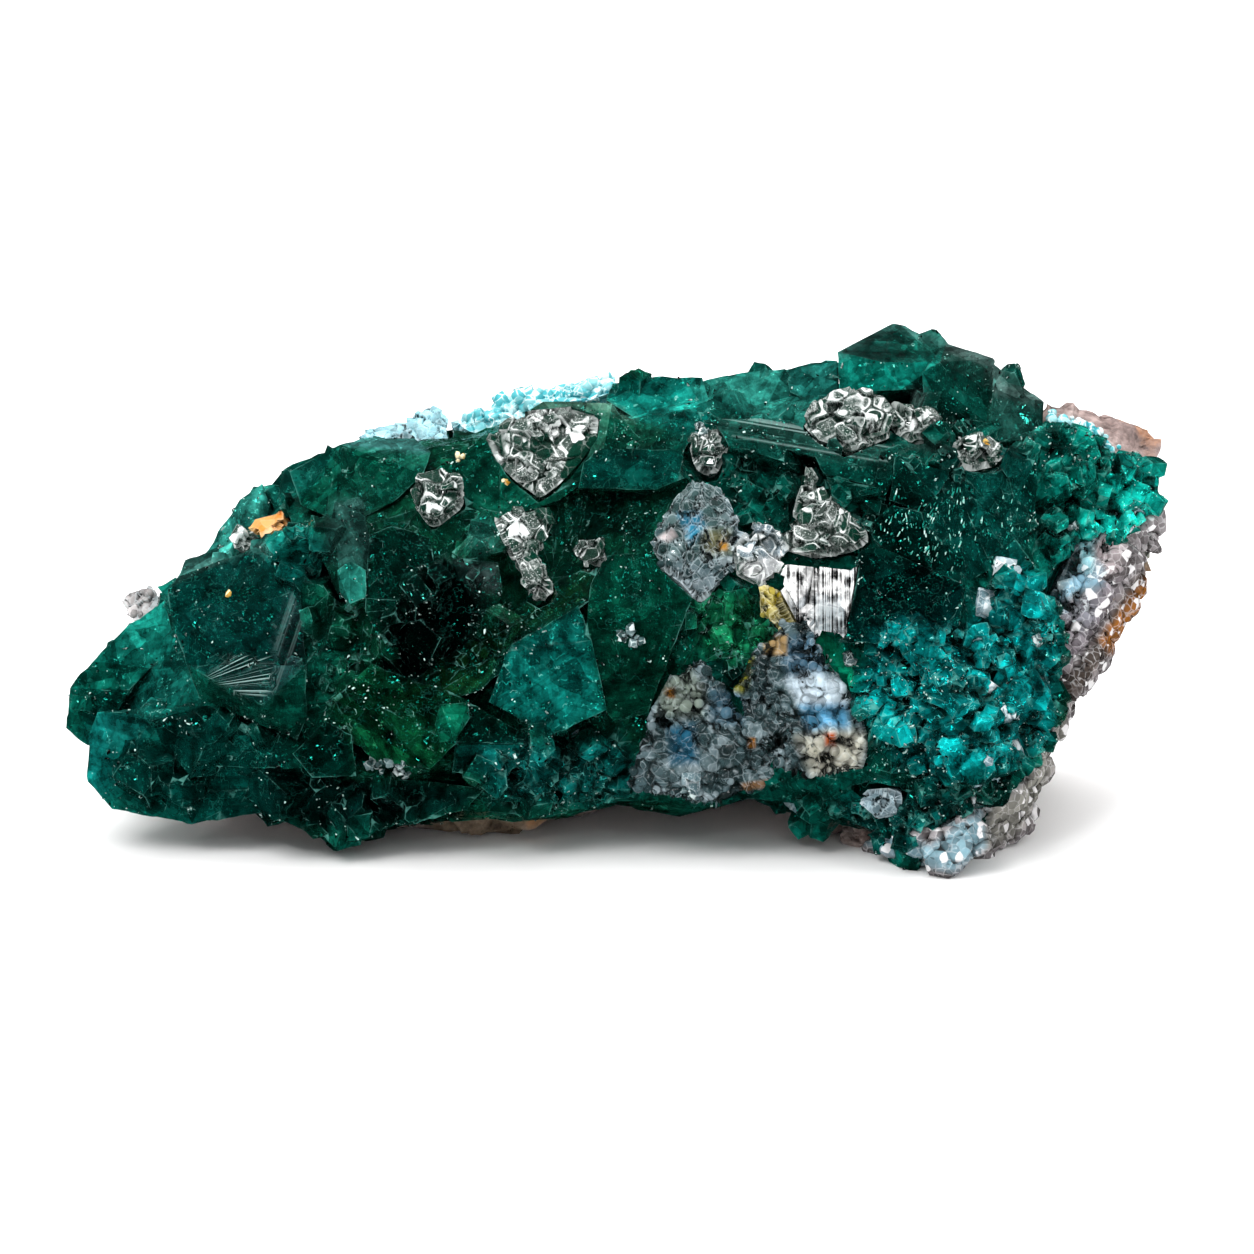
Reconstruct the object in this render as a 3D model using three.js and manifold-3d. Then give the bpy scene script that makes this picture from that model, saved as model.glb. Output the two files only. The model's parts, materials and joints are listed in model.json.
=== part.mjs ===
// A dioptase specimen: a crust of blue-green dioptase crystals grown over the front and top
// of a slab of pinkish grey host rock, with small patches of quartz druse and calcite on it.
// Millimetres, +Z up. The display side faces -Y. The origin is on the resting plane, under the
// middle of the specimen's bounding box.
import * as THREE from "three";
import { ConvexGeometry } from "three/addons/geometries/ConvexGeometry.js";
import { mergeVertices } from "three/addons/utils/BufferGeometryUtils.js";
import Module from "manifold-3d";

const wasm = await Module();
wasm.setup();

const radians = THREE.MathUtils.degToRad;

// Driving dimensions, in millimetres and degrees.
const SEAM = 0.3; // gap kept between one mineral and the next
const ROCK_SEAM = 0.42; // the same round the host rock, whose lump is moved out by its vertices
const BLOCK = 200; // the side of the block that stands for all space inside a break

// Crystal habits: slopes are the angle between a tip's face normals and the crystal's long axis,
// and uneven is how far a face may lie from its even place, as a share of the crystal's width.
const DIOPTASE = { slope: 51, side: [0.82, 1.15], uneven: 0.16, length: 1.5, lean: 0.5 };
const QUARTZ = { slope: 60, uneven: 0.12, proud: 0.6 };
const CALCITE = { slope: 44, stretch: [0.7, 1.1] };
const GRAIN_LEAN = 0.9; // how far a patch's grains lean away from the viewer's line of sight

// Small dioptase crystals between the large ones, and those of the turquoise cluster. Rise is how
// far a crystal's tip stands out of the crust, as a share of its width.
const FILL = { count: 16, width: [2.6, 4.4], rise: [0.3, 0.6], seed: 23 };
const FILL_TOP_RISE = 0.22; // on the flat top, where the outline has to stay
const CLUSTER = { count: 12, width: [2.6, 4.2], rise: [0.4, 0.8], seed: 31 };

// How deep the root of each kind of shard goes, and its width against the part that shows.
const CRYSTAL_FORM = { root: 5, taper: 0.72 };
const PATCH_FORM = { root: 1.8, taper: 0.8 };
const ROCK_FORM = { root: 7, taper: 0.9 };
const GRAIN_ROOM = 2.4; // the height kept clear above a patch that has grains on it
const PLATE_ROOM = 0.8; // the same above a bare plate
const FIRST_PATCH_SEED = 100;

// The broken lumps of the crust and the host rock: how many rings and sides they have, how blunt
// their ends are, and how far a vertex may lie from the smooth form.
const CRUST_LUMP = { rings: 16, around: 14, bluntness: 6, roughness: 0.5, seed: 11 };
const ROCK_LUMP = { rings: 15, around: 13, bluntness: 9, roughness: 0.6, seed: 5 };
const END_FULLNESS = 0.4; // the exponent that rounds a lump's ends

// The eye that the crystals' places are given from: the picture is square, and its pixels are
// counted from its top left corner. Its target is given before the specimen is centred.
const LOOK_DISTANCE = 274;
const LOOK_DOWN = radians(15);
const LOOK_AT = new THREE.Vector3(0.8, -2, 12.9);
const PICTURE_PIXELS = 1254;
const PICTURE_SPREAD = 0.3; // the picture's width for each unit of distance
const SEAT_STEP = 0.02; // the share of the way to the picture's middle, between tries for a seat

const SHARPEST = 0.15; // the least share of a corner's way out that counts for its faces
const SAME_POINT = 1e-4; // vertices nearer than this are one
const PARALLEL = 1e-6; // three faces with a smaller volume between their normals never meet
const ON_FACE = 1e-5; // how far outside a face a corner may lie and still count as on it

// The crust's form before its crystals, as sections across the specimen from left to right.
const CRUST_SECTIONS = [
  { x: -34.5, front: -6.5, back: 3, top: 9, bottom: 4 },
  { x: -31.8, front: -8.5, back: 6, top: 12.4, bottom: 2.6 },
  { x: -27, front: -11, back: 10, top: 16.4, bottom: 1.6 },
  { x: -24, front: -11.8, back: 12, top: 19.6, bottom: 1 },
  { x: -17.7, front: -12.2, back: 14.5, top: 22.8, bottom: 0.4 },
  { x: -11.5, front: -12, back: 16, top: 24.8, bottom: 0.5 },
  { x: -3.6, front: -11.6, back: 17, top: 26.2, bottom: 0.6 },
  { x: 0.5, front: -11.4, back: 17, top: 26.8, bottom: 1.4 },
  { x: 9.5, front: -11.8, back: 17, top: 27, bottom: 1.8 },
  { x: 12.5, front: -12.4, back: 17, top: 27.2, bottom: 1 },
  { x: 16, front: -13.2, back: 16.5, top: 27.4, bottom: -0.4 },
  { x: 22, front: -14, back: 15, top: 27, bottom: -1 },
  { x: 26.5, front: -11.6, back: 12, top: 25, bottom: 1 },
  { x: 30, front: -8, back: 9, top: 22.4, bottom: 6 },
  { x: 35, front: -3, back: 6, top: 20, bottom: 13 },
];

// The host rock's form, in the same way: proud of the crust behind, below and at the right end.
const ROCK_SECTIONS = [
  { x: -31, front: -6, back: 6.6, top: 10, bottom: 2 },
  { x: -27, front: -7.5, back: 11, top: 13.6, bottom: 0.4 },
  { x: -20, front: -8.4, back: 14.8, top: 18.4, bottom: -1.2 },
  { x: -12, front: -8.4, back: 17, top: 21, bottom: -1.4 },
  { x: -5, front: -8, back: 18, top: 22.6, bottom: -1.1 },
  { x: 1, front: -7.6, back: 18.2, top: 23, bottom: 0.8 },
  { x: 8, front: -8, back: 18.2, top: 23.4, bottom: 1.2 },
  { x: 15, front: -9.4, back: 18, top: 23.6, bottom: -1.2 },
  { x: 22, front: -10, back: 17.8, top: 23.4, bottom: -1.5 },
  { x: 26, front: -8, back: 17.4, top: 23, bottom: -0.4 },
  { x: 30, front: -3.6, back: 16.8, top: 22.4, bottom: 5 },
  { x: 33, front: 0, back: 16.4, top: 22.6, bottom: 9.6 },
  { x: 36.6, front: 4, back: 15.4, top: 22.4, bottom: 15 },
];

// A section's outline: how deep it is and how high, from its front and bottom, each from 0 to 1.
const SECTION_OUTLINE = new THREE.CatmullRomCurve3(
  [
    [0.18, 0.01],
    [0.04, 0.1],
    [0, 0.28],
    [0.07, 0.5],
    [0.2, 0.74],
    [0.36, 0.93],
    [0.52, 1],
    [0.72, 0.97],
    [0.9, 0.8],
    [1, 0.5],
    [0.97, 0.2],
    [0.82, 0.01],
    [0.5, 0],
  ].map(([depth, height]) => new THREE.Vector3(0, depth, height)),
  true,
);

// Random numbers that are the same on every run.
function seeded(seed) {
  let state = seed;
  const next = () => {
    state = (state * 16807) % 2147483647;
    return state / 2147483647;
  };
  next.between = (low, high) => low + (high - low) * next();
  return next;
}

// Vertices shared by neighbouring faces, and nothing but their places.
function merged(geometry) {
  const bare = new THREE.BufferGeometry();
  bare.setAttribute("position", geometry.getAttribute("position").clone());
  if (geometry.index) {
    bare.setIndex(geometry.index.clone());
  }
  return mergeVertices(bare, SAME_POINT);
}

function solidOf(geometry) {
  const shape = merged(geometry);
  const vertProperties = new Float32Array(shape.getAttribute("position").array);
  const triVerts = new Uint32Array(shape.index.array);
  return new wasm.Manifold(new wasm.Mesh({ numProp: 3, vertProperties, triVerts }));
}

function geometryOf(solid) {
  const mesh = solid.getMesh();
  const geometry = new THREE.BufferGeometry();
  geometry.setAttribute("position", new THREE.BufferAttribute(mesh.vertProperties, 3));
  geometry.setIndex(new THREE.BufferAttribute(mesh.triVerts, 1));
  return geometry;
}

function joined(solids) {
  return solids.reduce((whole, solid) => whole.add(solid));
}

// The largest body of a solid that a cut may have left in pieces.
function largest(solid) {
  const bodies = solid.decompose().sort((one, other) => other.volume() - one.volume());
  if (bodies.length === 0) {
    throw new Error("a piece is cut away whole");
  }
  return bodies[0];
}

// Moves every vertex of a lump out along its normal.
function swollen(geometry, distance) {
  const shape = merged(geometry);
  shape.computeVertexNormals();
  const place = shape.getAttribute("position");
  const normal = shape.getAttribute("normal");
  for (let i = 0; i < place.count; i++) {
    place.setXYZ(
      i,
      place.getX(i) + normal.getX(i) * distance,
      place.getY(i) + normal.getY(i) * distance,
      place.getZ(i) + normal.getZ(i) * distance,
    );
  }
  return shape;
}

// A section's measure at any x, between the two sections beside it.
function measureAt(sections, x, measure) {
  const last = sections.length - 1;
  const after = sections.findIndex((section) => section.x > x);
  if (after <= 0) {
    return sections[after === 0 ? 0 : last][measure];
  }
  const left = sections[after - 1];
  const right = sections[after];
  const share = (x - left.x) / (right.x - left.x);
  return THREE.MathUtils.lerp(left[measure], right[measure], share);
}

// A lump with the sections' form, round at both ends, and blunter with a greater `bluntness`. Its
// surface is broken: each vertex is moved by up to `roughness`.
function lump(sections, { rings, around, bluntness, roughness, seed }) {
  const random = seeded(seed);
  const shape = merged(new THREE.SphereGeometry(1, around, rings));
  const place = shape.getAttribute("position");
  const first = sections[0].x;
  const last = sections[sections.length - 1].x;
  for (let i = 0; i < place.count; i++) {
    const height = THREE.MathUtils.clamp(place.getY(i), -1, 1);
    const along = 1 - 2 * (Math.acos(height) / Math.PI);
    const x = THREE.MathUtils.lerp(first, last, (1 - along) / 2);
    const ringSize = (1 - Math.abs(along) ** bluntness) ** END_FULLNESS;
    const turn = Math.atan2(place.getZ(i), place.getX(i)) / (2 * Math.PI);
    const outline = SECTION_OUTLINE.getPoint((1 - turn) % 1);
    const depth = 0.5 + (outline.y - 0.5) * ringSize;
    const level = 0.5 + (outline.z - 0.5) * ringSize;
    const front = measureAt(sections, x, "front");
    const back = measureAt(sections, x, "back");
    const bottom = measureAt(sections, x, "bottom");
    const top = measureAt(sections, x, "top");
    place.setXYZ(
      i,
      x + random.between(-roughness, roughness),
      THREE.MathUtils.lerp(front, back, depth) + random.between(-roughness, roughness),
      THREE.MathUtils.lerp(bottom, top, level) + random.between(-roughness, roughness),
    );
  }
  return shape;
}

// The body bounded by flat faces, each given by its outward normal and its distance.
function bodyWithin(faces) {
  const corners = [];
  const cross = new THREE.Vector3();
  for (let i = 0; i < faces.length; i++) {
    for (let j = i + 1; j < faces.length; j++) {
      for (let k = j + 1; k < faces.length; k++) {
        const [a, b, c] = [faces[i], faces[j], faces[k]];
        const volume = a.normal.dot(cross.crossVectors(b.normal, c.normal));
        if (Math.abs(volume) < PARALLEL) {
          continue;
        }
        const corner = new THREE.Vector3()
          .addScaledVector(new THREE.Vector3().crossVectors(b.normal, c.normal), a.distance)
          .addScaledVector(new THREE.Vector3().crossVectors(c.normal, a.normal), b.distance)
          .addScaledVector(new THREE.Vector3().crossVectors(a.normal, b.normal), c.distance)
          .divideScalar(volume);
        if (faces.every((face) => face.normal.dot(corner) <= face.distance + ON_FACE)) {
          corners.push(corner);
        }
      }
    }
  }
  return new ConvexGeometry(corners);
}

// The hull of some points with each corner moved out, so that every face moves out by `distance`
// or more.
function grownHull(points, distance) {
  const place = new ConvexGeometry(points).getAttribute("position");
  const corners = new Map();
  for (let i = 0; i < place.count; i += 3) {
    const facet = [0, 1, 2].map((corner) => new THREE.Vector3().fromBufferAttribute(place, i + corner));
    const normal = new THREE.Triangle(...facet).getNormal(new THREE.Vector3());
    facet.forEach((point) => {
      const key = point.toArray().map((value) => value.toFixed(4)).join();
      const known = corners.get(key) ?? { point, normals: [] };
      known.normals.push(normal);
      corners.set(key, known);
    });
  }
  const moved = [...corners.values()].map(({ point, normals }) => {
    const outward = new THREE.Vector3();
    normals.forEach((normal) => outward.add(normal));
    outward.normalize();
    const least = Math.min(...normals.map((normal) => normal.dot(outward)));
    return point.clone().addScaledVector(outward, distance / Math.max(least, SHARPEST));
  });
  return new ConvexGeometry(moved);
}

// The outward normal of a face that leans `slope` degrees away from +Z, towards `bearing`.
function slantedNormal(slope, bearing) {
  const flat = Math.sin(radians(slope));
  const along = Math.cos(radians(slope));
  return new THREE.Vector3(flat * Math.cos(radians(bearing)), flat * Math.sin(radians(bearing)), along);
}

// A dioptase crystal: a six-sided prism with a three-faced tip at the origin. It grows along +Z,
// and its root is a crystal's length below the tip.
function dioptaseCrystal(width, random) {
  const faces = [{ normal: slantedNormal(180, 0), distance: width * DIOPTASE.length }];
  for (let side = 0; side < 6; side++) {
    const distance = (width / 2) * random.between(...DIOPTASE.side);
    faces.push({ normal: slantedNormal(90, 60 * side), distance });
  }
  for (let side = 0; side < 3; side++) {
    const distance = random.between(0, DIOPTASE.uneven) * width;
    faces.push({ normal: slantedNormal(DIOPTASE.slope, 30 + 120 * side), distance });
  }
  return bodyWithin(faces);
}

// A cleavage rhomb of calcite, about `width` across its faces, standing on one corner.
function calciteRhomb(width, random) {
  const faces = [];
  for (let side = 0; side < 3; side++) {
    const normal = slantedNormal(CALCITE.slope, 120 * side);
    const distance = (width / 2) * random.between(...CALCITE.stretch);
    faces.push({ normal, distance });
    faces.push({ normal: normal.clone().negate(), distance });
  }
  return bodyWithin(faces);
}

// A quartz point: six faces that meet at a tip at the origin, and a flat root.
function quartzPoint(width, random) {
  const faces = [{ normal: slantedNormal(180, 0), distance: width }];
  for (let side = 0; side < 6; side++) {
    const distance = random.between(0, QUARTZ.uneven) * width;
    faces.push({ normal: slantedNormal(QUARTZ.slope, 60 * side), distance });
  }
  return bodyWithin(faces);
}

// The line of sight through a pixel of the picture.
const FORWARD = new THREE.Vector3(0, Math.cos(LOOK_DOWN), -Math.sin(LOOK_DOWN));
const UPWARD = new THREE.Vector3(0, Math.sin(LOOK_DOWN), Math.cos(LOOK_DOWN));
const RIGHTWARD = new THREE.Vector3(1, 0, 0);
const EYE = LOOK_AT.clone().addScaledVector(FORWARD, -LOOK_DISTANCE);

function sightThrough(pixel) {
  const step = PICTURE_SPREAD / PICTURE_PIXELS;
  return FORWARD.clone()
    .addScaledVector(RIGHTWARD, (pixel[0] - PICTURE_PIXELS / 2) * step)
    .addScaledVector(UPWARD, (PICTURE_PIXELS / 2 - pixel[1]) * step);
}

const crustForm = lump(CRUST_SECTIONS, CRUST_LUMP);
const crustSurface = new THREE.Mesh(crustForm, new THREE.MeshBasicMaterial({ side: THREE.DoubleSide }));
crustSurface.updateMatrixWorld();

// Where a line of sight meets the crust's form, and the way that the form faces there. A crystal
// that stands past the form's edge is seated inside it, towards the picture's middle.
function surfaceAt(pixel) {
  const sight = sightThrough(pixel).normalize();
  const [hit] = new THREE.Raycaster(EYE, sight).intersectObject(crustSurface);
  if (!hit) {
    return surfaceAt(pixel.map((value) => value + (PICTURE_PIXELS / 2 - value) * SEAT_STEP));
  }
  const normal = hit.face.normal.clone();
  return { depth: hit.point.clone().sub(EYE).dot(FORWARD), normal };
}

// A point at a pixel, `rise` nearer to the eye than the depth.
function pointAt(pixel, depth, rise) {
  return EYE.clone().addScaledVector(sightThrough(pixel), depth - rise);
}

function middlePixel(corners) {
  const sum = corners.reduce(([x, y], corner) => [x + corner[0], y + corner[1]], [0, 0]);
  return sum.map((value) => value / corners.length);
}

function middleOf(points) {
  const middle = new THREE.Vector3();
  points.forEach((point) => middle.add(point));
  return middle.divideScalar(points.length);
}

// A large crystal or shard, by the corners that show: [across, down, rise], with the first two
// in pixels and the rise in millimetres above the crust at the corners' middle. Its root goes
// into the crust from every other corner.
function shardCorners(corners, { root, taper }) {
  const { depth, normal } = surfaceAt(middlePixel(corners));
  const shown = corners.map(([x, y, rise]) => pointAt([x, y], depth, rise));
  const inward = FORWARD.clone().addScaledVector(normal, -1).normalize();
  const middle = middleOf(shown);
  const rooted = shown
    .filter((_, i) => i % 2 === 0)
    .map((point) => point.clone().sub(middle).multiplyScalar(taper).add(middle))
    .map((point) => point.addScaledVector(inward, root));
  return [...shown, ...rooted];
}

function shard(corners, form) {
  return new ConvexGeometry(shardCorners(corners, form));
}

// Turns a shape that grows along +Z so that it grows along `axis`, and puts it at `place`.
function placed(shape, place, axis, roll) {
  const turn = new THREE.Quaternion().setFromUnitVectors(new THREE.Vector3(0, 0, 1), axis);
  const spin = new THREE.Quaternion().setFromAxisAngle(new THREE.Vector3(0, 0, 1), roll);
  const matrix = new THREE.Matrix4().compose(place, turn.multiply(spin), new THREE.Vector3(1, 1, 1));
  return shape.clone().applyMatrix4(matrix);
}

// The large dioptase crystals, named for where they are on the display side.
const LARGE_CRYSTALS = {
  leftBlock: [[167, 589, 2.4], [178, 576, 2], [256, 547, 1.8], [300, 583, 2.8], [306, 665, 3.4],
    [263, 706, 4], [186, 665, 3.2], [171, 617, 2.8]],
  leftBlockBevel: [[186, 665, 2.8], [200, 698, 1.6], [297, 740, 1.8], [307, 720, 2.2],
    [306, 665, 3], [263, 706, 3.8]],
  leftBlockCap: [[185, 560, 0.6], [240, 537, 0.4], [270, 548, 1], [300, 583, 2.4], [178, 577, 1.8]],
  leftLobe: [[66, 728, 0.2], [70, 688, 1.2], [92, 661, 1.2], [124, 629, 1], [165, 600, 0.8],
    [175, 645, 1.4], [150, 668, 2], [130, 690, 1.8], [88, 746, 0.6]],
  lowerLeftLobe: [[87, 740, 0], [97, 712, 0.6], [130, 713, 1.4], [152, 720, 2.2], [208, 705, 2.2],
    [242, 722, 2.6], [297, 756, 2], [285, 808, 1], [192, 824, 0.6], [112, 809, 0.2], [87, 782, 0]],
  lowShard: [[293, 754, 1.6], [326, 721, 2], [352, 735, 2.2], [356, 776, 1.8], [312, 778, 1.6]],
  lowBand: [[267, 780, 0.6], [349, 776, 1.2], [430, 781, 1.6], [485, 789, 1.2], [467, 809, 0.6],
    [415, 824, 0.4], [341, 828, 0.2], [312, 834, 0], [262, 810, 0]],
  greenFace: [[325, 702, 1.8], [345, 688, 2.2], [372, 664, 2.2], [430, 688, 2.8], [470, 700, 3],
    [455, 745, 2.8], [430, 769, 2.4], [378, 762, 1.6], [348, 740, 1.4]],
  brightPatch: [[434, 725, 3.2], [440, 704, 3.4], [468, 702, 3.4], [470, 718, 3.3], [455, 742, 3.2],
    [440, 742, 3]],
  darkFacet: [[470, 703, 2.4], [545, 745, 2.2], [500, 779, 1], [452, 772, 1.4], [455, 745, 2.5]],
  tealBlock: [[489, 702, 2.8], [509, 645, 3.2], [541, 628, 3.4], [578, 606, 3.2], [592, 640, 3.8],
    [607, 710, 3.4], [552, 736, 3], [519, 717, 2.8]],
  middleCrystal: [[605, 556, 3], [646, 553, 2.8], [697, 584, 2.4], [682, 625, 3], [665, 670, 3],
    [648, 713, 2.4], [615, 723, 2.2], [598, 700, 3.4], [585, 640, 4], [590, 585, 3.8]],
  diagonalPrism: [[600, 558, 1.8], [560, 580, 2], [500, 620, 2.4], [440, 660, 2.4], [395, 695, 2.2],
    [405, 714, 2.8], [480, 690, 3.2], [515, 642, 3.2], [590, 600, 3]],
  leftPeak: [[339, 444, 1.8], [290, 472, 1], [300, 505, 1.8], [335, 520, 2.4], [363, 517, 2.6],
    [393, 502, 2.8], [424, 474, 2.4], [431, 452, 1.4], [415, 438, 0.4], [367, 437, 0.2]],
  leftPeakFoot: [[334, 500, 2.3], [365, 515, 2.8], [373, 560, 3.2], [340, 600, 2.8], [322, 560, 2.2]],
  smallTealFace: [[337, 570, 3.4], [350, 561, 3.6], [366, 570, 3.7], [366, 597, 3.6], [350, 604, 3.4],
    [340, 595, 3.3]],
  darkTower: [[369, 534, 2.8], [392, 525, 2.6], [430, 538, 2.4], [434, 565, 3.2], [428, 602, 3.2],
    [385, 645, 2.8], [365, 612, 2.8]],
  greyFacetCrystal: [[450, 558, 2.6], [498, 562, 2.8], [503, 592, 3.2], [490, 628, 2.8],
    [440, 664, 2.2], [425, 640, 2.2], [432, 590, 2.8], [460, 580, 3.3]],
  ovalCrystal: [[470, 520, 2.2], [488, 513, 2.4], [500, 527, 2.8], [496, 552, 2.8], [478, 559, 2.4],
    [465, 545, 2.2]],
  greatCrystal: [[440, 500, 1.8], [452, 460, 1.4], [490, 440, 1.2], [500, 424, 1], [543, 401, 0.6],
    [612, 404, 0.4], [642, 440, 1], [600, 470, 2.4], [560, 500, 2.8], [500, 520, 3], [450, 520, 2.4]],
  shadeFace: [[578, 488, 2.2], [583, 462, 2], [602, 448, 1.6], [680, 450, 1.2], [692, 475, 1.8],
    [655, 490, 2.2]],
  ridgeLeft: [[606, 400, 1], [612, 383, 0], [663, 376, 0], [702, 378, 0], [713, 416, 1.4],
    [690, 434, 2], [640, 421, 1.8]],
  ridgeRight: [[690, 384, 0.2], [737, 373, 0], [785, 369, 0], [807, 400, 0.6], [803, 434, 1.2],
    [760, 420, 1.6], [704, 402, 1]],
  bladedCrystal: [[703, 420, 1.6], [762, 418, 1], [850, 436, 1.4], [893, 447, 1.8], [889, 458, 3],
    [888, 489, 3.2], [838, 478, 3.2], [800, 466, 3], [740, 448, 2.6], [705, 436, 2.2]],
  bladedCrystalFoot: [[813, 474, 3], [887, 490, 3.1], [886, 503, 2], [829, 503, 1.6]],
  bladedCrystalEnd: [[880, 452, 2.8], [898, 444, 2.4], [896, 470, 2.8], [885, 500, 2.6],
    [873, 490, 2.6]],
  darkPlate: [[896, 454, 2.6], [951, 473, 2.2], [936, 496, 2.8], [922, 512, 2.6], [889, 500, 2.6]],
  rightPrism: [[945, 450, 2], [1000, 440, 1.6], [1038, 452, 1], [1037, 500, 1.6], [1026, 548, 2.2],
    [968, 582, 2.8], [932, 570, 2.8], [921, 513, 2.8], [950, 475, 2.4]],
  striatedPrism: [[893, 505, 2.2], [922, 512, 2.6], [932, 568, 2.6], [918, 566, 2.2], [880, 546, 2],
    [864, 528, 1.6]],
  darkBlock: [[846, 590, 2.2], [860, 550, 2], [880, 546, 2], [920, 565, 2.4], [966, 585, 2.6],
    [957, 636, 2.4], [881, 643, 2.4], [838, 643, 2.2]],
  crownBlock: [[837, 352, 1.4], [897, 321, -1.4], [920, 334, -0.8], [884, 362, 2.8], [840, 394, 1.6],
    [900, 390, 3], [941, 362, 1.4], [926, 388, 2]],
  crownShoulder: [[918, 334, -0.6], [937, 328, -0.4], [950, 346, 0.2], [956, 372, 1.2],
    [940, 366, 1.4]],
  crownSlab: [[946, 343, -0.6], [994, 358, -0.6], [997, 395, 0.6], [991, 426, 1.6], [960, 443, 2.2],
    [925, 420, 2.4], [922, 372, 2], [940, 362, 1.4]],
  crownTip: [[994, 364, -0.8], [1013, 391, -0.4], [1030, 399, 0], [1044, 402, -0.4], [1043, 438, 0.6],
    [1000, 442, 1.6], [991, 426, 1.4]],
  crownLeft: [[785, 370, -0.4], [811, 363, -0.4], [838, 360, 0.4], [839, 395, 1.2], [816, 404, 1.4],
    [790, 392, 0.8]],
  leftRidge: [[267, 491, 0], [284, 468, -0.3], [318, 454, 0.2], [337, 449, 0.4], [320, 480, 1.4],
    [298, 505, 1.8], [275, 511, 1.2]],
  leftShoulder: [[203, 556, 0], [229, 518, -0.3], [240, 500, -0.3], [262, 484, 0], [270, 505, 0.4],
    [264, 536, 1.4], [230, 556, 1.6]],
  leftMiddle: [[265, 560, 1.4], [270, 538, 1], [300, 523, 1.4], [326, 545, 2], [320, 577, 2.2],
    [290, 586, 1.8]],
  leftEdge: [[126, 627, 0.4], [152, 604, 0], [154, 588, 0], [176, 577, 0.4], [180, 620, 1.4],
    [177, 643, 1.6], [150, 640, 1.2]],
  rightTealA: [[1044, 420, 0.2], [1068, 420, -0.2], [1086, 446, 0.4], [1076, 492, 1.2],
    [1048, 500, 1.6], [1040, 460, 1.4]],
  rightTealB: [[1072, 432, -0.2], [1106, 440, -0.4], [1126, 468, 0.2], [1112, 506, 1],
    [1080, 506, 1.4], [1070, 470, 1.2]],
  rightTealC: [[1122, 458, -0.2], [1150, 468, -0.6], [1163, 500, -0.4], [1146, 530, 0.4],
    [1116, 522, 1], [1110, 488, 0.8]],
  rightTealD: [[1040, 520, 1.6], [1080, 512, 1.4], [1110, 532, 0.8], [1092, 562, 1], [1052, 566, 1.6]],
  footCrystal: [[868, 812, 1], [900, 790, 1.4], [946, 792, 1.4], [962, 824, 1.4], [930, 846, 1.6],
    [884, 838, 1.2]],
  footToe: [[876, 842, 2.4], [905, 858, 3.4], [936, 862, 4], [962, 846, 3.6], [950, 822, 2.4],
    [905, 825, 2]],
};

// The breaks behind the specimen, where it was knocked off a larger rock: each is a flat face
// through a point, and its normal.
const BREAKS = [
  { through: [0, 15.6, 10], normal: [0.08, 1, -0.14] },
  { through: [-6, 12.4, 21.4], normal: [-0.12, 0.8, 0.62] },
  { through: [13, 13.6, 23], normal: [0.12, 0.8, 0.6] },
  { through: [-20, 11.6, 10], normal: [-0.6, 0.8, 0.14] },
  { through: [25, 15.8, 10], normal: [0.34, 0.92, -0.2] },
  { through: [-6, 13.6, 3], normal: [-0.1, 0.72, -0.68] },
  { through: [16, 13.4, 3.4], normal: [0.16, 0.66, -0.72] },
  { through: [31, 8, 6.4], normal: [0.78, 0.12, -0.6] },
  { through: [-27, 7.6, 4], normal: [-0.3, 0.68, -0.66] },
];

// Shards of the host rock that show beyond the crust.
const ROCK_SHARDS = {
  topRight: [[1046, 401, -8], [1100, 411, -9], [1152, 425, -9], [1161, 439, -8.5], [1156, 500, -6],
    [1090, 470, -4], [1050, 430, -5]],
  rightEdge: [[1162, 512, -7], [1150, 556, -6], [1142, 588, -5.5], [1112, 654, -5], [1092, 672, -4.5],
    [1060, 640, -2], [1090, 560, -1.5]],
  rightHollow: [[1100, 640, -5], [1086, 682, -5], [1060, 735, -4], [1042, 730, -1], [1050, 660, -0.6]],
  rightFoot: [[1046, 745, -3.5], [1036, 810, -3.5], [1012, 828, -2], [985, 862, -0.6], [975, 800, 0.4],
    [1010, 750, 0.2]],
  toe: [[836, 842, 0.4], [868, 855, 1.4], [900, 863, 2.6], [950, 866, 3.4], [985, 858, 3],
    [930, 835, 1.4], [870, 822, 0.6]],
  leftFoot: [[448, 815, -0.6], [462, 832, -1.2], [500, 836, -1.4], [545, 825, -1.6], [555, 808, -0.8],
    [500, 804, 0]],
};

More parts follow.
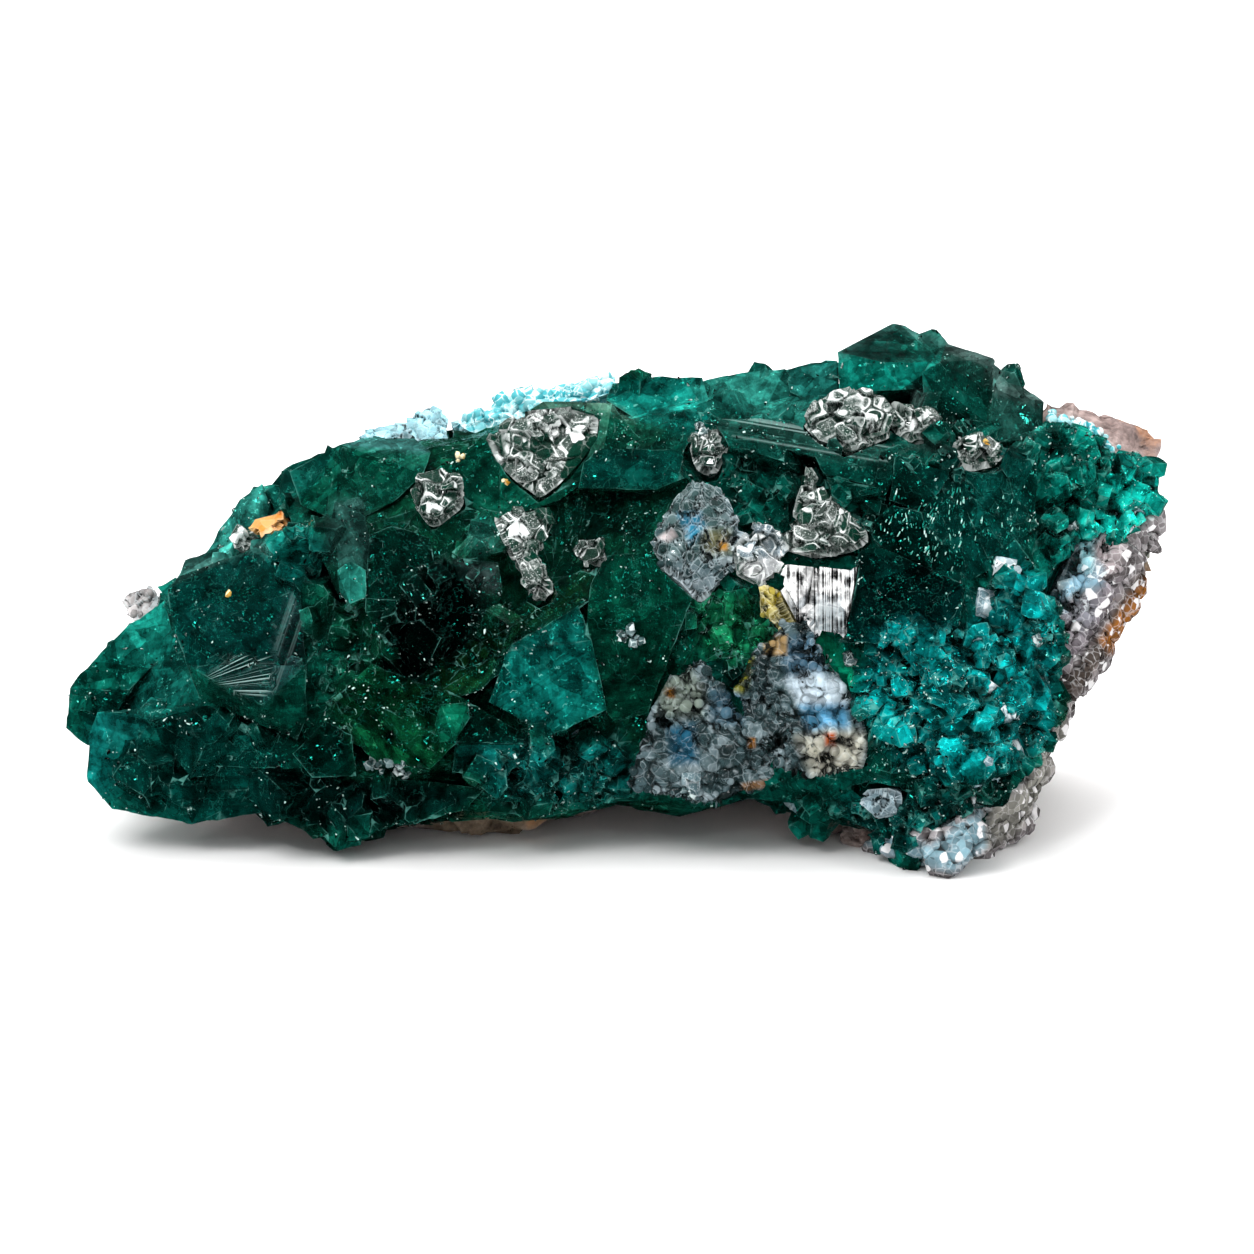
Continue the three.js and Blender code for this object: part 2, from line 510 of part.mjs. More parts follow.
// The patches of other minerals, by the corners of their parts. Each part has small crystals on
// it: `grains` of them over the whole patch, from the first to the second `size`.
const PATCHES = {
  calcite_crown: {
    finish: "calcite", habit: "rhomb", grains: 4, size: [1.1, 2.2],
    parts: [
      [[806, 420, 1.2], [813, 402, 1], [834, 391, 1], [862, 389, 1.2], [886, 396, 1.6],
        [896, 410, 1.8], [888, 432, 2.4], [868, 441, 2.4], [846, 446, 2.2], [822, 438, 1.8]],
      [[893, 412, 1.8], [903, 403, 1.6], [925, 406, 1.6], [933, 418, 1.8], [925, 431, 2],
        [905, 430, 2.2]],
    ],
  },
  calcite_tuft: {
    finish: "calcite", habit: "rhomb", grains: 3, size: [0.8, 1.5],
    parts: [[[952, 455, 2.2], [958, 441, 1.8], [975, 434, 1.6], [990, 437, 1.6], [1004, 450, 1.8],
      [994, 461, 2.2], [972, 466, 2.5], [958, 462, 2.5]]],
  },
  calcite_patch: {
    finish: "calcite", habit: "rhomb", grains: 4, size: [1, 1.9],
    parts: [[[491, 440, 1.7], [500, 425, 1.4], [530, 416, 1.2], [570, 411, 1.2], [594, 419, 1.5],
      [592, 438, 2.1], [575, 460, 2.6], [556, 480, 3], [540, 492, 3.2], [520, 478, 2.8],
      [503, 462, 2.4]]],
  },
  calcite_disc: {
    finish: "calcite", habit: "rhomb", grains: 1, size: [0.9, 1.5],
    parts: [[[410, 490, 2.4], [418, 474, 2.2], [440, 468, 2], [458, 475, 2], [461, 495, 2.4],
      [452, 512, 2.8], [432, 518, 3], [415, 508, 2.8]]],
  },
  calcite_spur: {
    finish: "calcite", habit: "rhomb", grains: 2, size: [0.8, 1.6],
    parts: [
      [[498, 517, 3.2], [520, 511, 3], [548, 513, 3], [556, 520, 3], [541, 548, 3.4], [530, 562, 3.4],
        [514, 556, 3.4]],
      [[516, 558, 3.2], [535, 552, 3.2], [546, 568, 3.2], [549, 590, 3], [540, 597, 3],
        [522, 583, 3.2]],
    ],
  },
  calcite_nugget: {
    finish: "calcite", habit: "rhomb", grains: 1, size: [0.7, 1.2],
    parts: [[[571, 549, 2.4], [580, 540, 2.4], [595, 538, 2.2], [603, 545, 2.2], [600, 557, 2.4],
      [585, 562, 2.6]]],
  },
  calcite_star: {
    finish: "calcite", habit: "rhomb", grains: 2, size: [0.9, 1.7],
    parts: [[[738, 548, 1.8], [758, 523, 1.8], [775, 530, 1.8], [786, 553, 2], [774, 572, 2.4],
      [757, 584, 2.6], [740, 573, 2.4]]],
  },
  calcite_fan: {
    finish: "calcite", habit: "rhomb", grains: 2, size: [0.9, 1.8],
    parts: [
      [[796, 512, 1.8], [801, 490, 1.6], [806, 467, 1.4], [815, 480, 1.6], [828, 505, 1.8],
        [812, 520, 2]],
      [[778, 540, 1.8], [800, 510, 1.8], [830, 500, 2], [858, 520, 2], [864, 540, 2.4],
        [840, 552, 2.6], [815, 551, 2.6], [795, 550, 2.4]],
    ],
  },
  calcite_speck: {
    finish: "calcite", habit: "rhomb", grains: 1, size: [0.7, 1.3],
    parts: [[[695, 440, 1.4], [700, 428, 1.2], [712, 430, 1.2], [723, 450, 1.4], [715, 467, 1.8],
      [700, 466, 1.8]]],
  },
  quartz_druse_upper: {
    finish: "quartz", habit: "point", grains: 4, size: [0.9, 1.7],
    parts: [[[650, 542, 2], [670, 504, 1.8], [692, 480, 1.6], [720, 488, 1.4], [739, 520, 1.6],
      [738, 552, 1.8], [724, 578, 2], [700, 598, 2.4], [684, 580, 2.6], [664, 566, 2.4]]],
  },
  quartz_druse_right: {
    finish: "quartz", habit: "point", grains: 6, size: [1, 1.9],
    parts: [[[785, 624, 1.6], [803, 618, 1.4], [822, 652, 1.4], [852, 698, 1.4], [866, 745, 1.4],
      [859, 769, 1.2], [822, 777, 1.4], [784, 772, 2], [750, 735, 2.8], [738, 690, 2.8],
      [752, 652, 2.4]]],
  },
  quartz_druse_left: {
    finish: "quartz", habit: "point", grains: 5, size: [1, 1.8],
    parts: [[[656, 712, 2], [675, 676, 2], [700, 658, 1.8], [716, 690, 1.8], [744, 732, 1.8],
      [776, 776, 1.4], [722, 805, 0.4], [674, 795, 0.4], [624, 787, 0.8], [638, 750, 1.6]]],
  },
  pearly_blade_left: {
    finish: "pearly", habit: "none",
    parts: [[[783, 584, 2.6], [787, 564, 2.4], [814, 567, 2], [807, 629, 2.2], [796, 608, 2.6]]],
  },
  pearly_blade_right: {
    finish: "pearly", habit: "none",
    parts: [[[817, 566, 2.2], [853, 570, 2.6], [841, 634, 2.8], [810, 629, 2.2]]],
  },
  yellow_crystals: {
    finish: "yellow", habit: "point", grains: 2, size: [0.9, 1.7],
    parts: [[[759, 592, 1.8], [776, 586, 1.8], [790, 604, 2], [802, 622, 2], [800, 637, 2],
      [781, 628, 2.2], [761, 608, 2.2]]],
  },
  quartz_druse_edge: {
    finish: "quartz", habit: "point", grains: 3, size: [1, 1.8],
    parts: [[[1056, 606, 1.6], [1067, 582, 1.6], [1083, 548, 1], [1100, 537, 0.4], [1126, 551, -0.8],
      [1118, 570, -0.4], [1100, 594, 0.2], [1088, 633, 0.4], [1066, 634, 1]]],
  },
  quartz_stub: {
    finish: "quartz", habit: "none",
    parts: [[[861, 803, 1.6], [880, 794, 1.8], [897, 800, 1.6], [896, 812, 1.6], [875, 817, 1.6]]],
  },
  quartz_foot: {
    finish: "quartz", habit: "point", grains: 1, size: [1, 1.8],
    parts: [[[955, 832, 2.8], [970, 817, 2.2], [981, 828, 2.2], [984, 846, 2.6], [958, 867, 3.4],
      [936, 866, 3.4], [929, 848, 3.2]]],
  },
  rim_quartz: {
    finish: "quartz", habit: "none",
    parts: [
      [[402, 428, -1], [412, 415, -1.6], [433, 405, -2], [449, 418, -1.4], [444, 436, 0],
        [418, 440, 0]],
      [[358, 437, -0.8], [378, 427, -1.4], [404, 422, -1.6], [408, 434, 0], [380, 442, 0]],
    ],
  },
  left_rim_quartz: {
    finish: "quartz", habit: "none",
    parts: [[[122, 600, -1.4], [128, 592, -1.6], [151, 587, -1.2], [155, 600, 0], [146, 612, 0],
      [130, 616, -0.6]]],
  },
  cyan_rim: {
    finish: "cyan", habit: "none",
    parts: [
      [[454, 421, -1.4], [468, 412, -1.8], [484, 411, -1.8], [494, 422, 0], [470, 432, 0]],
      [[482, 418, -1.8], [496, 402, -2.4], [512, 393, -2.6], [527, 395, -2.4], [532, 408, -0.4],
        [498, 422, 0]],
      [[522, 397, -2.2], [536, 388, -2.8], [556, 387, -2.6], [568, 396, -1.4], [560, 405, 0],
        [530, 410, -0.2]],
      [[552, 390, -2.4], [573, 382, -3], [598, 381, -2.8], [614, 377, -2.8], [618, 390, -1],
        [590, 400, 0], [560, 402, -0.2]],
    ],
  },
  white_rhomb: {
    finish: "calcite", habit: "none",
    parts: [[[231, 534, 1.8], [238, 526, 1.6], [243, 529, 1.8], [240, 541, 2], [234, 543, 2.1]]],
  },
  orange_plate: {
    finish: "orange", habit: "none",
    parts: [[[244, 537, 2.2], [255, 519, 1.6], [278, 513, 1.6], [278, 521, 2], [264, 531, 2.4]]],
  },
};

const material = (color, roughness) =>
  new THREE.MeshStandardMaterial({ color, roughness, metalness: 0, flatShading: true });

const FINISHES = {
  dioptase: material(0x0a6b5f, 0.12),
  rock: material(0x9b8b84, 0.9),
  calcite: material(0xd5d8d6, 0.3),
  quartz: material(0x9fb3bd, 0.25),
  cyan: material(0x8fdce6, 0.4),
  yellow: material(0xb9a83a, 0.4),
  orange: material(0xe88a2c, 0.3),
  pearly: material(0xdfe2e4, 0.25),
};

// A point on the crust's form: its place, and the way that the form faces there.
function crustPoint(random) {
  const place = crustForm.getAttribute("position");
  const face = Math.floor(random() * (crustForm.index.count / 3));
  const corners = [0, 1, 2].map((corner) =>
    new THREE.Vector3().fromBufferAttribute(place, crustForm.index.getX(3 * face + corner)),
  );
  const normal = new THREE.Triangle(...corners).getNormal(new THREE.Vector3());
  return { middle: middleOf(corners), normal };
}

function leaning(normal, lean, random) {
  const aside = new THREE.Vector3(random.between(-1, 1), random.between(-1, 1), random.between(-1, 1));
  return normal.clone().addScaledVector(aside, lean).normalize();
}

function smallDioptase(middle, normal, width, rise, random) {
  const tip = middle.clone().addScaledVector(normal, rise * width);
  const axis = leaning(normal, DIOPTASE.lean, random);
  return solidOf(placed(dioptaseCrystal(width, random), tip, axis, random() * Math.PI));
}

// Whether a place on the crust is on its front, top or left end, where crystals stand.
function isGrown({ middle, normal }) {
  const facesUpOrOut = normal.y <= 0.5 && normal.z >= -0.5;
  const nearFloor = middle.z < 5;
  const besideRock = middle.x > 26 && middle.z < 15;
  return facesUpOrOut && !nearFloor && !besideRock;
}

// Small crystals all over the crust's front, top and left end.
function fillCrystals() {
  const random = seeded(FILL.seed);
  const solids = [];
  while (solids.length < FILL.count) {
    const place = crustPoint(random);
    if (isGrown(place)) {
      const onTop = place.normal.z > 0.7;
      const rise = onTop ? FILL_TOP_RISE : random.between(...FILL.rise);
      const width = random.between(...FILL.width);
      solids.push(smallDioptase(place.middle, place.normal, width, rise, random));
    }
  }
  return solids;
}

// The turquoise cluster to the right, where small crystals stand close together.
const CLUSTER_OUTLINE = [[877, 640], [896, 620], [966, 630], [1018, 560], [1050, 590], [1060, 640],
  [1050, 740], [990, 780], [930, 785], [880, 750], [852, 690]];

function isInside(outline, [x, y]) {
  let inside = false;
  outline.forEach(([x1, y1], i) => {
    const [x2, y2] = outline[(i + 1) % outline.length];
    if (y1 > y !== y2 > y && x < ((x2 - x1) * (y - y1)) / (y2 - y1) + x1) {
      inside = !inside;
    }
  });
  return inside;
}

function pixelWithin(outline, random) {
  const across = outline.map((corner) => corner[0]);
  const down = outline.map((corner) => corner[1]);
  for (;;) {
    const x = random.between(Math.min(...across), Math.max(...across));
    const y = random.between(Math.min(...down), Math.max(...down));
    if (isInside(outline, [x, y])) {
      return [x, y];
    }
  }
}

function clusterCrystals() {
  const random = seeded(CLUSTER.seed);
  return Array.from({ length: CLUSTER.count }, () => {
    const pixel = pixelWithin(CLUSTER_OUTLINE, random);
    const { depth, normal } = surfaceAt(pixel);
    const width = random.between(...CLUSTER.width);
    const rise = random.between(...CLUSTER.rise);
    return smallDioptase(pointAt(pixel, depth, 0), normal, width, rise, random);
  });
}

// One grain of a patch, at a random place of a part of it. It stands on the part's own face.
function grain(part, { habit, size }, random) {
  const [x, y] = pixelWithin(part, random);
  const near = part.map((corner) => 1 / (1 + (corner[0] - x) ** 2 + (corner[1] - y) ** 2));
  const total = near.reduce((sum, weight) => sum + weight);
  const rise = part.reduce((sum, corner, i) => sum + (corner[2] * near[i]) / total, 0);
  const place = pointAt([x, y], surfaceAt(middlePixel(part)).depth, rise);
  const width = random.between(...size);
  const axis = leaning(FORWARD.clone().negate(), GRAIN_LEAN, random);
  if (habit === "rhomb") {
    return placed(calciteRhomb(width, random), place, axis, random() * Math.PI);
  }
  const tip = place.clone().addScaledVector(axis, QUARTZ.proud * width);
  return placed(quartzPoint(width, random), tip, axis, random() * Math.PI);
}

// A patch's parts with their grains, trimmed to the room that the patch has, and the socket that
// it sits in.
function patch({ parts, habit, grains = 0, size }, seed) {
  const random = seeded(seed);
  const plates = parts.map((part) => solidOf(shard(part, PATCH_FORM)));
  for (let i = 0; i < grains; i++) {
    plates.push(solidOf(grain(parts[i % parts.length], { habit, size }, random)));
  }
  const headroom = grains > 0 ? GRAIN_ROOM : PLATE_ROOM;
  const rooms = parts.map((part) => {
    const { depth } = surfaceAt(middlePixel(part));
    const above = part.map(([x, y, rise]) => pointAt([x, y], depth, rise + headroom));
    return [...shardCorners(part, PATCH_FORM), ...above];
  });
  return {
    solid: joined(plates).intersect(joined(rooms.map((room) => solidOf(new ConvexGeometry(room))))),
    socket: joined(rooms.map((room) => solidOf(grownHull(room, SEAM)))),
  };
}

// Everything on the inner side of a flat face.
function innerSide({ through, normal }) {
  const block = new THREE.BoxGeometry(BLOCK, BLOCK, BLOCK).translate(0, 0, -BLOCK / 2);
  const outward = new THREE.Vector3(...normal).normalize();
  return solidOf(placed(block, new THREE.Vector3(...through), outward, 0));
}

const aboveFloor = innerSide({ through: [0, 0, 0], normal: [0, 0, -1] });
const withinBreaks = BREAKS.map(innerSide).reduce((kept, side) => kept.intersect(side), aboveFloor);
const rockForm = lump(ROCK_SECTIONS, ROCK_LUMP);
const rockShards = Object.values(ROCK_SHARDS);
const rock = joined([
  solidOf(rockForm).intersect(withinBreaks),
  ...rockShards.map((corners) => solidOf(shard(corners, ROCK_FORM))),
]);
const rockSocket = joined([
  solidOf(swollen(rockForm, ROCK_SEAM)),
  ...rockShards.map((corners) => solidOf(grownHull(shardCorners(corners, ROCK_FORM), SEAM))),
]);

const specimen = new THREE.Group();

function addPiece(name, solid, finish) {
  const mesh = new THREE.Mesh(geometryOf(solid), finish);
  mesh.name = name;
  specimen.add(mesh);
}

addPiece("host_rock", largest(rock.intersect(aboveFloor)), FINISHES.rock);

let taken = rockSocket;
Object.entries(PATCHES).forEach(([name, description], i) => {
  const { solid, socket } = patch(description, FIRST_PATCH_SEED + i);
  addPiece(name, largest(solid.subtract(taken).intersect(aboveFloor)), FINISHES[description.finish]);
  taken = taken.add(socket);
});

const largeCrystals = Object.values(LARGE_CRYSTALS).map((corners) =>
  solidOf(shard(corners, CRYSTAL_FORM)),
);
const crust = joined([solidOf(crustForm), ...largeCrystals, ...fillCrystals(), ...clusterCrystals()]);
addPiece("dioptase_crust", largest(crust.subtract(taken).intersect(withinBreaks)), FINISHES.dioptase);

// The origin goes on the resting plane, under the middle of the specimen's box.
const box = new THREE.Box3().setFromObject(specimen);
const middle = box.getCenter(new THREE.Vector3());
specimen.position.set(-middle.x, -middle.y, -box.min.z);

export default specimen;
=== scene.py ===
"""The looks of a dioptase specimen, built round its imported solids.

A crust of deep blue-green dioptase crystals covers the front and top of a slab of pinkish grey
rock, with patches of calcite and quartz druse on it. The display side faces -Y. Sizes are in
metres, and named sizes that end in _mm are in millimetres.
"""

import contextlib
import json
import logging
import math
import random
from collections.abc import Callable, Iterator, Sequence
from dataclasses import dataclass, field
from enum import Enum
from functools import partial
from typing import Any

import bpy
import numpy as np
from mathutils import Matrix, Vector, noise
from mathutils.bvhtree import BVHTree
from mathutils.kdtree import KDTree

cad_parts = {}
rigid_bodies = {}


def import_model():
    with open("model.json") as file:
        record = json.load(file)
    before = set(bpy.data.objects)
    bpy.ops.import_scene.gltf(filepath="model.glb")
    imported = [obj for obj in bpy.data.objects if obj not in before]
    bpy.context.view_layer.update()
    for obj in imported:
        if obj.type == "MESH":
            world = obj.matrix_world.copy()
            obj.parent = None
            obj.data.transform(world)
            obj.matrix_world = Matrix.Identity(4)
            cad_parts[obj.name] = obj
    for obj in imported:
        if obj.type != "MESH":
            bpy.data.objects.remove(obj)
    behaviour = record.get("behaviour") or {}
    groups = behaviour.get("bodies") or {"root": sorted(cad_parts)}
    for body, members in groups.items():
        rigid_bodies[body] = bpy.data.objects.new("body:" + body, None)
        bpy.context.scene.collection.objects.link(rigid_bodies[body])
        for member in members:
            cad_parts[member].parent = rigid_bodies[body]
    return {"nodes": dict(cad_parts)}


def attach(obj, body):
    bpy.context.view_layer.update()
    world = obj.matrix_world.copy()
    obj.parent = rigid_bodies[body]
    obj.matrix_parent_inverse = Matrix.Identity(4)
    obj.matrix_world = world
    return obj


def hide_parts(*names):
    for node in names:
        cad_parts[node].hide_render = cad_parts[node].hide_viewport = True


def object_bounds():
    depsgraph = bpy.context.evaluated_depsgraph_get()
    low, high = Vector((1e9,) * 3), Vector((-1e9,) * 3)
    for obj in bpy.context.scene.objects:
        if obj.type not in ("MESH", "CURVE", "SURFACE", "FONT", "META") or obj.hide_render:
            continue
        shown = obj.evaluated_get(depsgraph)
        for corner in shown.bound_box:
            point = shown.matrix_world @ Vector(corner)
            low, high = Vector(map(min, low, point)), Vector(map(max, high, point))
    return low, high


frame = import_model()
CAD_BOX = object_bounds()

LOG = logging.getLogger("dioptase")
MM = 0.001
MERGE_MM = 0.001

Pixel = tuple[float, float]
Corners = tuple[float, ...]  # an outline in the picture: across and down in turn, in pixels
Mesh = bpy.types.Mesh
Piece = bpy.types.Object
Material = bpy.types.Material
Node = bpy.types.Node
Socket = bpy.types.NodeSocket
AddNode = Callable[..., Node]  # add_node with its tree given


def linear(hex_colour: str) -> tuple[float, float, float, float]:
    """Turns an sRGB hex colour to linear light.

    Args:
        hex_colour: The colour as "#rrggbb".

    Returns:
        Red, green and blue, each linear, and 1 for alpha.
    """
    channels = [int(hex_colour[start:start + 2], 16) / 255 for start in (1, 3, 5)]
    red, green, blue = [
        value / 12.92 if value <= 0.04045 else ((value + 0.055) / 1.055) ** 2.4 for value in channels
    ]
    return red, green, blue, 1.0


def add_node(
    tree: bpy.types.NodeTree, kind: str, inputs: Sequence[Any] | dict[str, Any] = (), **settings: Any,
) -> Node:
    """Adds a shader node with its settings, values and links.

    Args:
        tree: The node tree that the node goes in.
        kind: The node's type name, without the "ShaderNode" that they all begin with.
        inputs: Values, sockets and nodes for the inputs, in their order or by name. A node
            stands for its first output.
        **settings: The node's own properties.

    Returns:
        The new node.
    """
    node = tree.nodes.new("ShaderNode" + kind)
    for name, value in settings.items():
        setattr(node, name, value)
    in_order = [socket for socket in node.inputs if socket.enabled]
    for key, value in inputs.items() if isinstance(inputs, dict) else enumerate(inputs):
        socket = node.inputs[key] if isinstance(key, str) else in_order[key]
        if isinstance(value, Node):
            value = next(output for output in value.outputs if output.enabled)
        if isinstance(value, Socket):
            tree.links.new(value, socket)
        else:
            socket.default_value = value
    return node


def new_material(name: str) -> tuple[Material, AddNode]:
    """Makes an empty node material.

    Args:
        name: The material's name.

    Returns:
        The material, and what adds a node to it.
    """
    material = bpy.data.materials.new(name)
    material.use_nodes = True
    material.node_tree.nodes.clear()
    return material, partial(add_node, material.node_tree)


def lines_near(add: AddNode, source: Any, level: float, near: float, far: float, strength: Any) -> Node:
    """Adds lines where a value comes near a level.

    Args:
        add: What adds a node.
        source: The value.
        level: What it is in the middle of a line.
        near: How far from the level a line still has its full strength.
        far: How far from the level it has faded out.
        strength: Its full strength.

    Returns:
        The strength at each place.
    """
    offset = add("Math", [source, level], operation="SUBTRACT")
    apart = add("Math", [offset], operation="ABSOLUTE")
    return add("MapRange", [apart, near, far, strength, 0.0])


def tilted_flats(add: AddNode, foam: Node, place: Any) -> Node:
    """Gives the height of a surface of small flats, each tilted at random.

    Args:
        add: What adds a node.
        foam: The foam whose cells are the flats.
        place: The place that the foam reads.

    Returns:
        The height, above and below zero.
    """
    slant = add("VectorMath", [foam.outputs["Color"], (0.5,) * 3], operation="SUBTRACT")
    away = add("VectorMath", [place, foam.outputs["Position"]], operation="SUBTRACT")
    return add("VectorMath", [slant, away], operation="DOT_PRODUCT")


def stripes_across(add: AddNode, place: Any, roughness: float, shift: Any = 0.0) -> Node:
    """Adds uneven stripes across the ways that the surface's "lines" attribute gives.

    Args:
        add: What adds a node.
        place: The place on the object.
        roughness: How much fine detail they have.
        shift: What moves them aside, in stripes.

    Returns:
        A number about 0.5 that is the same along a stripe and changes across it.
    """
    across = add("Attribute", attribute_name="lines").outputs["Vector"]
    phase = add("VectorMath", [place, across], operation="DOT_PRODUCT")
    along = add("Math", [phase, shift], operation="ADD")
    return add("TexNoise", [along, 1.0, 3.0, roughness], noise_dimensions="1D")


def put_stops(ramp: bpy.types.ColorRamp, colours: Sequence[str], start: float, span: float) -> None:
    """Spaces colours evenly along a ramp.

    Args:
        ramp: The ramp of a node.
        colours: The colours, from low to high.
        start: The place of the first.
        span: How much higher the last is.
    """
    stops = ramp.elements
    while len(stops) < len(colours):
        stops.new(0.5)
    for index, colour in enumerate(colours):
        stops[index].position = start + span * index / (len(colours) - 1)
        stops[index].color = linear(colour)


@contextlib.contextmanager
def editing(piece: Piece) -> Iterator[None]:
    """Puts a piece, and nothing else, in edit mode with all of it selected.

    Args:
        piece: The mesh object.
    """
    bpy.ops.object.select_all(action="DESELECT")
    bpy.context.view_layer.objects.active = piece
    piece.select_set(True)
    bpy.ops.object.mode_set(mode="EDIT")
    bpy.ops.mesh.select_all(action="SELECT")
    try:
        yield
    finally:
        bpy.ops.object.mode_set(mode="OBJECT")
        piece.select_set(False)


def in_scene(name: str, data: Any) -> Piece:
    """Adds an object with the data given to the scene."""
    thing = bpy.data.objects.new(name, data)
    bpy.context.scene.collection.objects.link(thing)
    return thing


def merged_copy(node: str, name: str) -> Piece:
    """Copies a node's mesh as a new piece with its vertices merged.

    Args:
        node: The solid's name.
        name: The new piece's name.

    Returns:
        The new piece, flat shaded.
    """
    mesh = frame["nodes"][node].data.copy()
    mesh.name = name
    mesh.materials.clear()
    piece = in_scene(name, mesh)
    with editing(piece):
        bpy.ops.mesh.remove_doubles(threshold=MERGE_MM * MM)
        bpy.ops.mesh.customdata_custom_splitnormals_clear()
    mesh.shade_flat()
    return piece


def values_of(rows: Any, key: str, width: int = 1, kind: type = np.float32) -> np.ndarray:
    """Reads one value from every row of a mesh's data.

    Args:
        rows: The mesh's vertices, edges, faces, corners, normals or attribute.
        key: The value's name.
        width: How many numbers it has.
        kind: What the mesh keeps them as.

    Returns:
        The values, one a row.
    """
    values = np.empty(len(rows) * width, kind)
    rows.foreach_get(key, values)
    return values.reshape(-1, width) if width > 1 else values


def places_of(mesh: Mesh) -> np.ndarray:
    """Returns the places of a mesh's vertices, one a row."""
    return values_of(mesh.vertices, "co", 3).astype(float)


def put_places(mesh: Mesh, places: np.ndarray) -> None:
    """Moves a mesh's vertices to the places given."""
    mesh.vertices.foreach_set("co", places.ravel())
    mesh.update()


def directions_of(mesh: Mesh) -> np.ndarray:
    """Returns the way that each vertex faces, one a row."""
    return values_of(mesh.vertex_normals, "vector", 3).astype(float)


def triangles_of(mesh: Mesh) -> np.ndarray:
    """Returns the vertices of each face of a mesh of triangles, one face a row."""
    return values_of(mesh.loops, "vertex_index", kind=np.int32).reshape(-1, 3)


def middles_of(mesh: Mesh) -> np.ndarray:
    """Returns the middle of each face of a mesh of triangles, one a row."""
    return places_of(mesh)[triangles_of(mesh)].mean(axis=1)


def edges_of(mesh: Mesh) -> np.ndarray:
    """Returns the two vertices of each edge, one edge a row."""
    return values_of(mesh.edges, "vertices", 2, np.int32)


def face_normals(mesh: Mesh) -> np.ndarray:
    """Returns the way that each face of a mesh faces, one a row."""
    return values_of(mesh.polygon_normals, "vector", 3).astype(float)


def face_areas(mesh: Mesh) -> np.ndarray:
    """Returns the area of each face of a mesh."""
    return values_of(mesh.polygons, "area").astype(float)


def put_values(mesh: Mesh, name: str, domain: str, values: np.ndarray) -> None:
    """Writes a number or a colour for every vertex or face of a mesh.

    Args:
        mesh: The mesh that gets the values.
        name: The attribute's name.
        domain: POINT for vertices, FACE for faces.
        values: One number a row, or a direction, or red, green, blue and alpha.
    """
    kinds = {1: ("FLOAT", "value"), 3: ("FLOAT_VECTOR", "vector"), 4: ("FLOAT_COLOR", "color")}
    kind, key = kinds[1 if values.ndim == 1 else values.shape[1]]
    attribute = mesh.attributes.get(name) or mesh.attributes.new(name, kind, domain)
    attribute.data.foreach_set(key, values.astype(np.float32).ravel())


def split_long_edges(piece: Piece, longest_mm: float, rounds: int, outer: bool = False) -> None:
    """Cuts the long edges of a piece in half until few are left.

    Args:
        piece: The mesh object. It ends as triangles.
        longest_mm: Edges longer than this are cut.
        rounds: How often every long edge is halved.
        outer: Whether only faces on the outside of the specimen are cut.
    """
    bpy.context.tool_settings.mesh_select_mode = (False, True, False)
    mesh = piece.data
    with editing(piece):
        bpy.ops.mesh.quads_convert_to_tris(quad_method="BEAUTY", ngon_method="BEAUTY")
    for _ in range(rounds):
        one, other = edges_of(mesh).T
        places = places_of(mesh)
        is_long = np.linalg.norm(places[other] - places[one], axis=1) > longest_mm * MM
        if outer:
            shown = vertex_shown(mesh)
            is_long &= shown[one] | shown[other]
        if not is_long.any():
            break
        with editing(piece):
            bpy.ops.mesh.select_all(action="DESELECT")
            bpy.ops.object.mode_set(mode="OBJECT")
            mesh.edges.foreach_set("select", is_long)
            bpy.ops.object.mode_set(mode="EDIT")
            bpy.ops.mesh.subdivide(number_cuts=1)
            bpy.ops.mesh.select_all(action="SELECT")
            bpy.ops.mesh.quads_convert_to_tris(quad_method="BEAUTY", ngon_method="BEAUTY")


def vertex_shown(mesh: Mesh) -> np.ndarray:
    """Tells which vertices can be seen from somewhere outside the specimen.

    Args:
        mesh: The mesh to look at.

    Returns:
        True for each vertex whose way out isn't closed by the rock or another piece.
    """
    room = INNER_GAP_MM * MM
    return np.array([
        SOLIDS.ray_cast(Vector(place + way * room * 0.02), Vector(way), room)[0] is None
        for place, way in zip(places_of(mesh), directions_of(mesh))
    ])


def nearest_tree(places: np.ndarray, indices: Sequence[int]) -> KDTree:
    """Builds a search tree for the nearest of some places.

    Args:
        places: One place a row.
        indices: The rows that go in.

    Returns:
        The tree, which gives rows by number.
    """
    tree = KDTree(len(indices))
    for index in indices:
        tree.insert(Vector(places[index]), int(index))
    tree.balance()
    return tree


def tree_of(nodes: Sequence[str]) -> BVHTree:
    """Builds one search tree over the faces of several solids.

    Args:
        nodes: The solids' names.

    Returns:
        The tree, for ray casts and nearest points.
    """
    places: list[Vector] = []
    faces: list[tuple[int, ...]] = []
    for node in nodes:
        mesh = frame["nodes"][node].data
        start = len(places)
        places.extend(vertex.co.copy() for vertex in mesh.vertices)
        faces.extend(tuple(start + corner for corner in face.vertices) for face in mesh.polygons)
    return BVHTree.FromPolygons(places, faces)


INNER_GAP_MM = 0.9  # faces with less room than this before them lie on another piece
SOLIDS = tree_of(list(frame["nodes"]))


